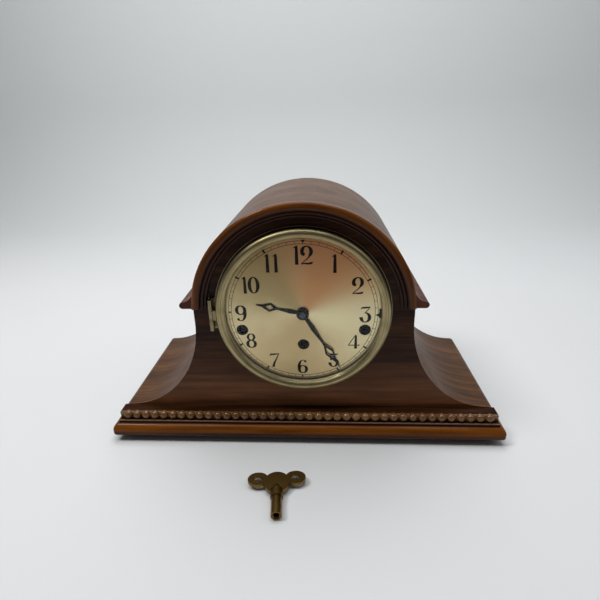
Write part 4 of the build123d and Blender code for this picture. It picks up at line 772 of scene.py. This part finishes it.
def screws_recipe() -> NodeRecipe:
    """Slotted screw heads on given points.

    Returns:
        The recipe, whose heads stand along the depth of the clock.
    """
    kinds = {"Radius": "Float", "Height": "Float", "Slot": "Vector", "Material": "Material"}
    recipe = NodeRecipe("screw_heads", kinds)
    sizes = {"Vertices": SCREW_SIDES, "Radius": recipe.given("Radius"), "Depth": recipe.given("Height")}
    head = recipe.node("GeometryNodeMeshCylinder", None, sizes, "Mesh")
    slot = recipe.node("GeometryNodeMeshCube", None, {"Size": recipe.given("Slot")})
    top = recipe.node("ShaderNodeCombineXYZ", None, {2: recipe.given("Height")})
    half = recipe.node("ShaderNodeVectorMath", {"operation": "SCALE"}, {0: top, "Scale": 0.5})
    raised = recipe.node("GeometryNodeTransform", None, {"Geometry": slot, "Translation": half})
    meshes = {"Mesh 1": head, "Mesh 2": raised}
    cut = recipe.node("GeometryNodeMeshBoolean", {"operation": "DIFFERENCE"}, meshes, "Mesh")
    places = recipe.node("GeometryNodeMeshToPoints", None, {"Mesh": recipe.given("Geometry")})
    spin = recipe.node(
        "FunctionNodeRandomValue",
        {"data_type": "FLOAT_VECTOR"},
        {"Min": (-math.pi / 2, 0.0, 0.0), "Max": (-math.pi / 2, math.pi, 0.0), "Seed": SCREW_SEED},
    )
    inputs = {"Points": places, "Instance": cut, "Rotation": spin}
    recipe.close(recipe.node("GeometryNodeInstanceOnPoints", None, inputs))
    return recipe


@dataclass(frozen=True)
class Stroke:
    """A pen stroke of a numeral: points as x, y and width, in numeral heights."""

    points: tuple[tuple[float, float, float], ...]
    closed: bool = False


def bow(centre: Point, radii: Point, start: float, sweep: float, thick: float, thin: float) -> Stroke:
    """A curved stroke that is thick at its sides and thin at its top and bottom.

    Args:
        centre: The bow's centre.
        radii: Its half width and half height.
        start: The angle that it starts at, in degrees.
        sweep: The angle that it covers.
        thick: Width at the sides.
        thin: Width at the top and bottom.

    Returns:
        The stroke, closed if it goes all the way round.
    """
    closed = abs(sweep) >= 360
    steps = 40 if closed else max(8, int(abs(sweep) / 9))
    points = []
    for index in range(steps if closed else steps + 1):
        angle = math.radians(start + sweep * index / steps)
        width = thin + (thick - thin) * abs(math.cos(angle)) ** 1.6
        x = centre[0] + radii[0] * math.cos(angle)
        y = centre[1] + radii[1] * math.sin(angle)
        points.append((x, y, width))
    return Stroke(tuple(points), closed)


def taper(*points: tuple[float, float, float]) -> Stroke:
    """A straight-sided stroke through points with their widths."""
    return Stroke(tuple(points))


def blob(x: float, y: float, size: float) -> Stroke:
    """A round end of a stroke."""
    half = size / 4
    angles = [index * math.pi / 6 for index in range(12)]
    ring = [(x + half * math.cos(turn), y + half * math.sin(turn), size / 2) for turn in angles]
    return Stroke(tuple(ring), True)


class Numerals:
    """Upright numerals drawn with a broad pen."""

    SHAPES: dict[str, tuple[Stroke, ...]] = {
        "0": (bow((0, 0.5), (0.235, 0.465), 0, 360, 0.2, 0.06),),
        "1": (
            taper((0.0, 0.0, 0.18), (0.0, 0.93, 0.14), (0.005, 1.0, 0.09)),
            taper((-0.16, 0.885, 0.02), (0.0, 0.93, 0.12)),
        ),
        "2": (
            bow((0, 0.69), (0.23, 0.275), 215, -275, 0.19, 0.06),
            taper((0.145, 0.455, 0.085), (0.02, 0.3, 0.06), (-0.15, 0.17, 0.045), (-0.27, 0.05, 0.05)),
            taper(
                (-0.3, 0.03, 0.03), (-0.12, 0.065, 0.08), (0.08, 0.05, 0.1),
                (0.26, 0.085, 0.12), (0.31, 0.14, 0.02),
            ),
            blob(-0.17, 0.56, 0.19),
        ),
        "3": (
            taper((-0.27, 0.83, 0.02), (-0.2, 0.92, 0.1), (0.02, 0.93, 0.11), (0.25, 0.965, 0.06)),
            taper((0.25, 0.965, 0.05), (0.1, 0.76, 0.05), (-0.02, 0.61, 0.05)),
            bow((0, 0.32), (0.235, 0.285), 100, -285, 0.2, 0.06),
            blob(-0.19, 0.2, 0.16),
        ),
        "4": (
            taper((0.12, 0.0, 0.19), (0.12, 0.9, 0.14), (0.115, 1.0, 0.05)),
            taper((0.1, 0.985, 0.05), (-0.34, 0.27, 0.06)),
            taper((-0.37, 0.25, 0.06), (0.28, 0.25, 0.06), (0.36, 0.26, 0.12)),
        ),
        "5": (
            taper((-0.19, 0.97, 0.05), (-0.06, 0.92, 0.12), (0.2, 0.92, 0.1), (0.28, 0.985, 0.02)),
            taper((-0.17, 0.95, 0.06), (-0.2, 0.52, 0.05)),
            bow((0, 0.325), (0.235, 0.29), 138, -320, 0.2, 0.06),
            blob(-0.19, 0.2, 0.16),
        ),
        "6": (
            bow((0, 0.3), (0.23, 0.265), 0, 360, 0.19, 0.06),
            bow((0.02, 0.48), (0.255, 0.485), 196, -138, 0.19, 0.05),
            blob(0.165, 0.87, 0.16),
        ),
        "7": (
            taper((-0.3, 0.8, 0.03), (-0.24, 0.92, 0.12), (-0.02, 0.93, 0.12), (0.3, 0.975, 0.05)),
            taper((0.28, 0.97, 0.05), (0.1, 0.56, 0.09), (-0.04, 0.25, 0.14), (-0.1, 0.0, 0.19)),
        ),
        "8": (
            bow((0, 0.755), (0.19, 0.21), 0, 360, 0.15, 0.06),
            bow((0, 0.28), (0.235, 0.25), 0, 360, 0.19, 0.06),
        ),
    }
    SHAPES["9"] = tuple(
        Stroke(tuple((-x, 1 - y, width) for x, y, width in stroke.points), stroke.closed)
        for stroke in SHAPES["6"]
    )
    PAIRS: dict[str, tuple[tuple[str, float], ...]] = {
        "10": (("1", -0.32), ("0", 0.17)),
        "11": (("1", -0.2), ("1", 0.24)),
        "12": (("1", -0.35), ("2", 0.16)),
    }

    @classmethod
    def strokes(cls, text: str) -> list[tuple[Stroke, float]]:
        """The strokes of an hour, each with its shift to the right.

        Args:
            text: The hour's number.

        Returns:
            Strokes and shifts, in numeral heights.
        """
        digits = cls.PAIRS.get(text, ((text, 0.0),))
        return [(stroke, shift) for digit, shift in digits for stroke in cls.SHAPES[digit]]


@dataclass
class Dial:
    """The printed dial: minute track, hour marks and numerals."""

    shop: Workshop
    centre: Vector
    front: float
    print_depth: float = 0.03 * MM
    track_inner: float = 64.5 * MM
    track_outer: float = 67.1 * MM
    turn: float = -0.024
    line_width: float = 0.42 * MM
    tick_width: float = 0.36 * MM
    numeral_places: Sequence[Point] = (
        (28.6, 46.7), (48.4, 26.5), (55.9, -1.2), (46.3, -28.7), (27.8, -48.4), (-1.2, -55.4),
        (-27.7, -48.5), (-48.5, -27.7), (-56.0, 0.3), (-45.2, 27.6), (-25.9, 47.5), (1.9, 54.5),
    )
    numeral_heights: Sequence[float] = (
        16.6, 16.0, 15.8, 14.4, 14.8, 15.0, 14.8, 15.2, 16.0, 15.8, 16.6, 16.8,
    )
    arrow: Sequence[Point] = ((-1.7, 68.0), (1.7, 68.0), (0.0, 64.7))
    diamond: Sequence[Point] = ((0.0, 67.4), (1.1, 66.0), (0.0, 64.6), (-1.1, 66.0))
    block: Sequence[Point] = ((-0.8, 68.2), (0.8, 68.2), (0.8, 64.7), (-0.8, 64.7))
    minutes: int = 60
    circle_steps: int = 180
    stroke_rise: float = 0.04

    def build(self) -> None:
        """Prints the dial, piece by piece."""
        self._ticks("minute_ticks")
        for index, radius in enumerate((self.track_inner, self.track_outer), 1):
            self._circle(f"minute_circle_{index}", radius)
        self._hour_blocks()
        for hour in range(1, 13):
            self._numeral(hour)

    def _print(self, name: str, mesh: bpy.types.Mesh) -> None:
        """Adds a printed piece to the dial."""
        self.shop.add(name, mesh, "case", "dial_ink", "black_hands")

    def _ticks(self, name: str) -> None:
        """Prints the minute bars round the dial."""
        depth = self.front - self.print_depth / 2
        values = {
            "Count": self.minutes,
            "Radius": (self.track_inner + self.track_outer) / 2,
            "Size": (self.tick_width, self.track_outer - self.track_inner, self.print_depth),
            "Centre": (self.centre.x, depth, self.centre.z),
            "Turn": (math.pi / 2, -self.turn, 0.0),
            "Material": self.shop.finishes["dial_ink"],
        }
        self._print(name, Workshop.grown(name, [], marks_recipe(), values))

    def _circle(self, name: str, radius: float) -> None:
        """Prints a thin circle."""
        shape = bmesh.new()
        inner, outer = radius - self.line_width / 2, radius + self.line_width / 2
        face = -self.print_depth
        section = [(inner, 0.0), (outer, 0.0), (outer, face), (inner, face)]
        lathe(shape, section, self.centre, self.front, self.circle_steps)
        self._print(name, Workshop.mesh(name, shape))

    def _hour_blocks(self) -> None:
        """Prints a small block at each hour, with arrowheads or diamonds at the quarters."""
        shape = bmesh.new()
        for hour in range(12):
            angle = math.radians(90 - 30 * hour) + self.turn
            quarters = {0: self.arrow, 3: self.arrow, 6: self.diamond, 9: self.diamond}
            turned = []
            for across, out in quarters.get(hour, self.block):
                x = out * math.cos(angle) + across * math.sin(angle)
                z = out * math.sin(angle) - across * math.cos(angle)
                turned.append((self.centre.x + x * MM, self.centre.z + z * MM))
            plate(shape, turned, self.front, self.print_depth)
        self._print("hour_blocks", Workshop.mesh("hour_blocks", shape))

    def _numeral(self, hour: int) -> None:
        """Prints one upright numeral."""
        text = str(hour)
        height = self.numeral_heights[hour - 1] * MM
        across, rise = self.numeral_places[hour - 1]
        left = self.centre.x + across * MM
        base = self.centre.z + rise * MM - height / 2
        shape = bmesh.new()
        for index, (stroke, shift) in enumerate(Numerals.strokes(text)):
            points = [
                (left + (x + shift) * height, base + y * height, width * height)
                for x, y, width in stroke.points
            ]
            thickness = self.print_depth * (1 + self.stroke_rise * index)
            ribbon(shape, points, stroke.closed, self.front, thickness)
        self._print(f"numeral_{text}", Workshop.mesh(f"numeral_{text}", shape))


def lathe(
    shape: bmesh.types.BMesh, section: Sequence[Point], centre: Vector, depth: float, count: int
) -> None:
    """Turns a closed section about the line through the dial's centre.

    Args:
        shape: The bmesh to add to.
        section: Radius and depth of each corner.
        centre: The dial's centre.
        depth: The depth that the section's depths count from.
        count: The number of steps round.
    """
    rings = []
    for index in range(count):
        angle = 2 * math.pi * index / count
        cosine, sine = math.cos(angle), math.sin(angle)
        ring = [(centre.x + r * cosine, depth + y, centre.z + r * sine) for r, y in section]
        rings.append([shape.verts.new(corner) for corner in ring])
    skin(shape, rings, True)


def skin(shape: bmesh.types.BMesh, rows: Sequence[Sequence[Any]], closed: bool) -> None:
    """Joins rows of corners with faces.

    Args:
        shape: The bmesh to add to.
        rows: Vertices, as many in each row.
        closed: Whether the last row joins the first.
    """
    corners = len(rows[0])
    for index in range(len(rows) if closed else len(rows) - 1):
        here, there = rows[index], rows[(index + 1) % len(rows)]
        for corner in range(corners):
            after = (corner + 1) % corners
            shape.faces.new((here[corner], here[after], there[after], there[corner]))


def plate(shape: bmesh.types.BMesh, outline: Sequence[Point], front: float, thickness: float) -> None:
    """Adds a thin flat plate that stands out from a front face.

    Args:
        shape: The bmesh to add to.
        outline: Its corners as x and z.
        front: The depth of the face that it lies on.
        thickness: Its thickness.
    """
    back = [shape.verts.new((x, front, z)) for x, z in outline]
    face = [shape.verts.new((x, front - thickness, z)) for x, z in outline]
    shape.faces.new(back)
    shape.faces.new(face)
    skin(shape, (back, face), False)


def ribbon(
    shape: bmesh.types.BMesh,
    points: Sequence[tuple[float, float, float]],
    closed: bool,
    front: float,
    thickness: float,
) -> None:
    """Adds a stroke of varying width as a thin raised band.

    Args:
        shape: The bmesh to add to.
        points: x, z and width along the stroke.
        closed: Whether the stroke joins itself.
        front: The depth of the face that it lies on.
        thickness: Its thickness.
    """
    count = len(points)
    rows = []
    for index, (x, z, width) in enumerate(points):
        before = points[(index - 1) % count] if closed or index else points[index]
        after = points[(index + 1) % count] if closed or index + 1 < count else points[index]
        run = Vector((after[0] - before[0], after[1] - before[1])).normalized()
        aside = Vector((-run.y, run.x)) * width / 2
        row = []
        for sign, depth in ((1, front), (-1, front), (-1, front - thickness), (1, front - thickness)):
            row.append(shape.verts.new((x + sign * aside.x, depth, z + sign * aside.y)))
        rows.append(row)
    skin(shape, rows, closed)
    if not closed:
        shape.faces.new(rows[0])
        shape.faces.new(rows[-1])


@dataclass
class Case:
    """The screws of the wooden case."""

    shop: Workshop
    hinge_spread: float = 56.0 * MM
    leaf_thickness: float = 0.8 * MM
    leaf_screw_inset: float = 3.2 * MM
    leaf_screw_pitch: float = 8.0 * MM
    strap_screws: Sequence[float] = (2.6 * MM, 7.4 * MM)
    screw_radius: float = 1.6 * MM
    screw_height: float = 0.7 * MM
    screw_sink: float = 0.2 * MM
    screw_slot: float = 0.45 * MM
    slot_reach: float = 2.2
    board_screws: Sequence[Point] = (
        (-130, 30), (130, 30), (-98, 52), (98, 52), (-88, 130),
        (88, 130), (-60, 195), (60, 195), (0, 215),
    )

    def build(self) -> None:
        """Puts screws in the hinge leaves and round the back board."""
        recipe = screws_recipe()
        case_low, case_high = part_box("door_case_leaves")
        door_low, door_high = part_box("door_leaves")
        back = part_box("back_board")[1].y
        sides = (-1, 1)
        hinges = [(case_low.z + case_high.z) / 2 + side * self.hinge_spread / 2 for side in sides]
        pitch = self.leaf_screw_pitch
        leaf_y = case_low.y + self.leaf_thickness
        leaf_x = case_high.x - self.leaf_screw_inset
        leaf = [(leaf_x, leaf_y, z + side * pitch) for z in hinges for side in sides]
        strap = [(door_low.x + x, door_high.y, z) for z in hinges for x in self.strap_screws]
        board = [(x * MM, back, z * MM) for x, z in self.board_screws]
        places = {
            "case_leaf_screws": ("case", leaf),
            "door_leaf_screws": ("back_door", strap),
            "back_board_screws": ("case", board),
        }
        for name, (body, points) in places.items():
            seated = [(x, y + self.screw_height / 2 - self.screw_sink, z) for x, y, z in points]
            values = {
                "Radius": self.screw_radius,
                "Height": self.screw_height,
                "Slot": (self.slot_reach * self.screw_radius, self.screw_slot, self.screw_slot),
                "Material": self.shop.finishes["screw_steel"],
            }
            made = Workshop.grown(name, seated, recipe, values)
            self.shop.add(name, made, body, "screw_steel", "steel")


@dataclass
class Bezel:
    """The ring that holds the glass of the hinged bezel."""

    shop: Workshop
    centre: Vector
    dial_front: float
    sight_radius: float = 70.4 * MM
    sight_bevel: float = 1.2 * MM
    sight_width: float = 3.4 * MM
    sight_gap: float = 0.25 * MM
    sight_height: float = 2.0 * MM
    steps: int = 160

    def build(self) -> None:
        """Fits the bevelled ring between the glass and the dial."""
        inner, outer = self.sight_radius, self.sight_radius + self.sight_width
        back, front = -self.sight_gap, -self.sight_gap - self.sight_height
        section = [(inner, back), (outer, back), (outer, front), (inner + self.sight_bevel, front)]
        shape = bmesh.new()
        lathe(shape, section, self.centre, self.dial_front, self.steps)
        made = Workshop.mesh("sight_ring", shape, True)
        # The sight ring's brass is brightened as painted light, where the hood keeps it in shade.
        self.shop.add("sight_ring", made, "bezel", "sight_brass_painted_light", "bezel_brass")


@dataclass
class Wardrobe:
    """Gives every CAD node its finish, by its own name or else by its slot."""

    shop: Workshop

    DRESSED: ClassVar[dict[str, tuple[str, ...]]] = {
        "silvered_dial": ("dial_plate",),
        "front_walnut": ("front_veneer", "front_panel"),
        "wrap_walnut": ("roof", "shoulders"),
        "cornice_walnut": ("side_cornices",),
        "hood_mahogany": ("hood_moulding",),
        "base_mahogany": ("base_board",),
        "bead_walnut": ("bead_moulding",),
        "foot_ebonised": ("feet",),
        "back_beech": ("back_board", "back_door"),
        "hinge_brass": ("door_case_leaves", "door_leaves", "door_knob"),
        "bezel_brass": ("bezel_ring",),
        # The seat ring's near-black brass is painted shade in the gap round the bezel.
        "seat_brass_painted_shade": ("bezel_seat_ring",),
        "hinge_dark": ("bezel_hinge_bracket", "bezel_hinge_arm"),
        "clear_glass": ("bezel_glass",),
        "blued_black": ("minute_hand", "hour_hand", "silent_lever"),
        "nut_steel": ("hand_nut",),
    }
    OTHERS: ClassVar[dict[str, str]] = {"rod_block": "cast_black", "winding_key": "key_brass"}

    def build(self) -> None:
        """Dresses the case, the dial and the hands, then the movement."""
        for finish, nodes in self.DRESSED.items():
            self.shop.dress(finish, *nodes)
        slots = {row["node"]: row["material_slot"] for row in self.shop.frame["record"]["subparts"]}
        for node, slot in slots.items():
            if slot == "movement_brass":
                self.shop.dress("plate_brass", node)
            elif slot == "steel":
                # Winding arbors get a near-black finish: painted shade for the dark winding holes.
                dark = node.endswith("winding_arbor")
                self.shop.dress("arbor_painted_shade" if dark else "arbor_steel", node)
            elif node in self.OTHERS:
                self.shop.dress(self.OTHERS[node], node)


@dataclass(frozen=True)
class Lamp:
    """A square lamp that looks at the clock."""

    name: str
    place: tuple[float, float, float]
    size: float
    watts: float
    colour: Colour
    aim: tuple[float, float, float] = (0.0, 0.0, 0.1)

    def build(self) -> None:
        """Hangs the lamp."""
        light = bpy.data.lights.new(self.name, "AREA")
        light.size = self.size
        light.energy = self.watts
        light.color = self.colour
        lamp = linked(self.name, light)
        lamp.location = self.place
        sight = Vector(self.aim) - Vector(self.place)
        lamp.rotation_euler = sight.to_track_quat("-Z", "Y").to_euler()


@dataclass
class Studio:
    """Floor, backdrop, lamps and camera."""

    eye: Sequence[float] = (19.19, -403.84, 290.48)
    yaw: float = 0.0622
    pitch: float = -0.4072
    roll: float = 0.0293
    focal_pixels: float = 420.88
    frame_pixels: float = 600.0
    sensor: float = 36.0
    near_clip: float = 0.01
    bend: float = 0.35
    bend_steps: int = 12
    wall: float = 1.05
    wall_height: float = 3.5
    half_width: float = 4.0
    floor_front: float = -3.0
    sky: Colour = (0.93, 0.96, 1.0)
    sky_strength: float = 0.07
    lamps: Sequence[Lamp] = (
        Lamp("key", (-0.8, -0.2, 1.3), 0.34, 7.0, (1.0, 0.985, 0.96)),
        Lamp("fill", (1.1, -0.15, 1.0), 0.8, 2.0, (0.97, 0.985, 1.0)),
        Lamp("top", (0.0, 0.22, 1.5), 1.3, 16.5, (1.0, 1.0, 1.0)),
    )

    def build(self, finish: bpy.types.Material) -> None:
        """Sets the stage.

        Args:
            finish: The floor's material.
        """
        self._sweep(finish)
        self._world()
        for lamp in self.lamps:
            lamp.build()
        self._camera()

    def _sweep(self, finish: bpy.types.Material) -> None:
        """A floor that curves up into a backdrop."""
        radius, start = self.bend, self.wall - self.bend
        profile = [(self.floor_front, 0.0), (start, 0.0)]
        for index in range(1, self.bend_steps + 1):
            angle = math.pi / 2 * index / self.bend_steps
            profile.append((start + radius * math.sin(angle), radius - radius * math.cos(angle)))
        profile.append((self.wall, self.wall_height))
        shape = bmesh.new()
        ends = (-self.half_width, self.half_width)
        rows = [[shape.verts.new((x, y, z)) for x in ends] for y, z in profile]
        for here, there in zip(rows, rows[1:]):
            shape.faces.new((here[0], here[1], there[1], there[0])).smooth = True
        made = bpy.data.meshes.new("floor")
        shape.to_mesh(made)
        shape.free()
        made.materials.append(finish)
        floor = linked("floor", made)

    def _world(self) -> None:
        """Soft light from all round."""
        world = bpy.data.worlds.new("studio")
        bpy.context.scene.world = world
        world.use_nodes = True
        backdrop = world.node_tree.nodes["Background"]
        backdrop.inputs["Color"].default_value = (*self.sky, 1.0)
        backdrop.inputs["Strength"].default_value = self.sky_strength

    def _camera(self) -> None:
        """A camera at the viewing angle of the photograph."""
        turns = ((self.yaw, "Z"), (self.pitch, "X"), (self.roll, "Y"))
        yaw, pitch, roll = (Matrix.Rotation(angle, 3, axis) for angle, axis in turns)
        turn = yaw @ pitch @ roll
        right, forward, up = turn.col
        data = bpy.data.cameras.new("camera")
        data.sensor_width = self.sensor
        data.lens = self.sensor * self.focal_pixels / self.frame_pixels
        data.clip_start = self.near_clip
        camera = linked("camera", data)
        matrix = Matrix((right, up, -forward)).transposed().to_4x4()
        matrix.translation = Vector(self.eye) * MM
        camera.matrix_world = matrix
        bpy.context.scene.camera = camera


def finishes(dial_height: float) -> dict[str, bpy.types.Material]:
    """Makes every finish of the clock.

    Args:
        dial_height: The height of the dial's centre.

    Returns:
        Materials by name.
    """
    bezel_bands = [(72.6 * MM, 73.3 * MM, "857850"), (75.0 * MM, 75.6 * MM, "75683f")]
    nut_bands = [(2.5 * MM, 6.0 * MM, "0b0b0c")]
    # Painted sheen and reflection of the spun dial: olive at the upper left, a warm reflection from
    # twelve to two, a bright highlight near three, paler below.
    painted_sheens = [
        PaintedSheen((-1.8, -0.9), (-0.6, 0.4), "a08d5d", 0.8),
        PaintedSheen((-0.75, 0.3), (0.55, 1.6), "cc9464", 0.85),
        PaintedSheen((1.0, 1.7), (1.75, 2.6), "f3e6ba", 0.8),
        PaintedSheen((2.2, 3.0), (4.0, 5.0), "c7ab7a", 0.7),
        PaintedSheen((-5.0, -4.0), (-2.7, -1.7), "c7ab7a", 0.7),
    ]
    seat_bands = [(79.1 * MM, 79.9 * MM, "8d836c")]
    made = [
        # The front veneer carries painted reflected light, paler towards the base.
        PanelFinish("front_walnut", "200f07", "361d0f", "4b2d18", Grain.ALONG_X, 0.36, 0.08, 0.08),
        WoodFinish("wrap_walnut", "432918", "583a23", "704c2d", Grain.AROUND, 0.4, 0.17, 0.08),
        WoodFinish("cornice_walnut", "3c180a", "582913", "724022", Grain.AROUND, 0.36, 0.16, 0.1),
        # Hood moulding: the amber outer band is partly stain and partly painted highlight.
        HoodFinish(
            "hood_mahogany", "1a0a05", "2a1209", "3c1c0d", Grain.ARCHED, 0.3, 0.12, 0.18, dial_height
        ),
        # Base board: amber nose partly painted highlight, painted shade on the step, painted highlight
        # on its front edge.
        BaseFinish("base_mahogany", "2a1409", "482410", "5d3315", Grain.ALONG_X, 0.3, 0.1, 0.08),
        # Bead moulding: the strip behind the beads carries painted shade.
        BeadFinish("bead_walnut", "4a3118", "704d2a", "966e42", Grain.ALONG_X, 0.3, 0.04, 1.0),
        WoodFinish("foot_ebonised", "0d0806", "1c120d", "2a1a12", Grain.ALONG_X, 0.45, 0.2, 0.1),
        WoodFinish("back_beech", "4a2e1c", "6b4529", "855a36", Grain.ALONG_Z, 0.5, 0.25, 0.1),
        TurnedFinish("bezel_brass", "b5a880", "7f724c", bezel_bands, dial_height, 0.38),
        # Sight ring brass brightened as painted light.
        TurnedFinish("sight_brass_painted_light", "efe4bd", "c4b688", [], dial_height, 0.5),
        # Seat ring painted near black as painted shade in the gap round the bezel, with a pale line
        # near its outer edge.
        TurnedFinish("seat_brass_painted_shade", "2a2318", "16120c", seat_bands, dial_height, 0.4),
        MetalFinish("hinge_brass", "b8964f", "5e4a22", 0.3, 0.4),
        MetalFinish("hinge_dark", "938867", "3d3522", 0.34, 0.45),
        MetalFinish("plate_brass", "c8a255", "7c6130", 0.24, 0.25, 1.0, (6.0, 60.0, 60.0)),
        MetalFinish("arbor_steel", "a8a9ab", "6b675f", 0.26, 0.2),
        # Near-black winding arbors: painted shade for the dark winding holes.
        MetalFinish("arbor_painted_shade", "070708", "040404", 0.3, 0.15),
        MetalFinish("screw_steel", "8d8f92", "55524c", 0.3, 0.3),
        TurnedFinish("nut_steel", "50585a", "2c3132", nut_bands, dial_height, 0.3),
        MetalFinish("key_brass", "7a6136", "2f2615", 0.34, 0.6),
        SpunFinish("silvered_dial", "e2cfa2", "c9ae7c", painted_sheens, dial_height),
        PaintFinish("dial_ink", "0b0705", "1f140d", 0.5),
        PaintFinish("blued_black", "090909", "1d1a18", 0.3),
        PaintFinish("cast_black", "101113", "2a2724", 0.5),
        GlassFinish("clear_glass"),
        # The floor's warm colour shows only in reflections, as a painted reflection.
        FloorFinish("pale_floor", "e6e8ea", "8a4a20", "e2e5e6"),
    ]
    return {finish.name: finish.build() for finish in made}


def main() -> None:
    """Loads the frame, dresses the clock and sets the stage."""
    logging.basicConfig(level=logging.INFO, format="%(name)s: %(message)s")
    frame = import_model()
    low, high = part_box("dial_plate")
    centre = (low + high) / 2
    materials = finishes(centre.z)
    shop = Workshop(frame, materials)
    fitted = (Bezel(shop, centre, low.y), Dial(shop, centre, low.y))
    for assembly in (Wardrobe(shop), Case(shop), *fitted):
        assembly.build()
        LOG.info("%s is dressed", type(assembly).__name__)
    Studio().build(materials["pale_floor"])
    bpy.context.scene.view_settings.view_transform = "Standard"


if __name__ == "__main__":
    main()
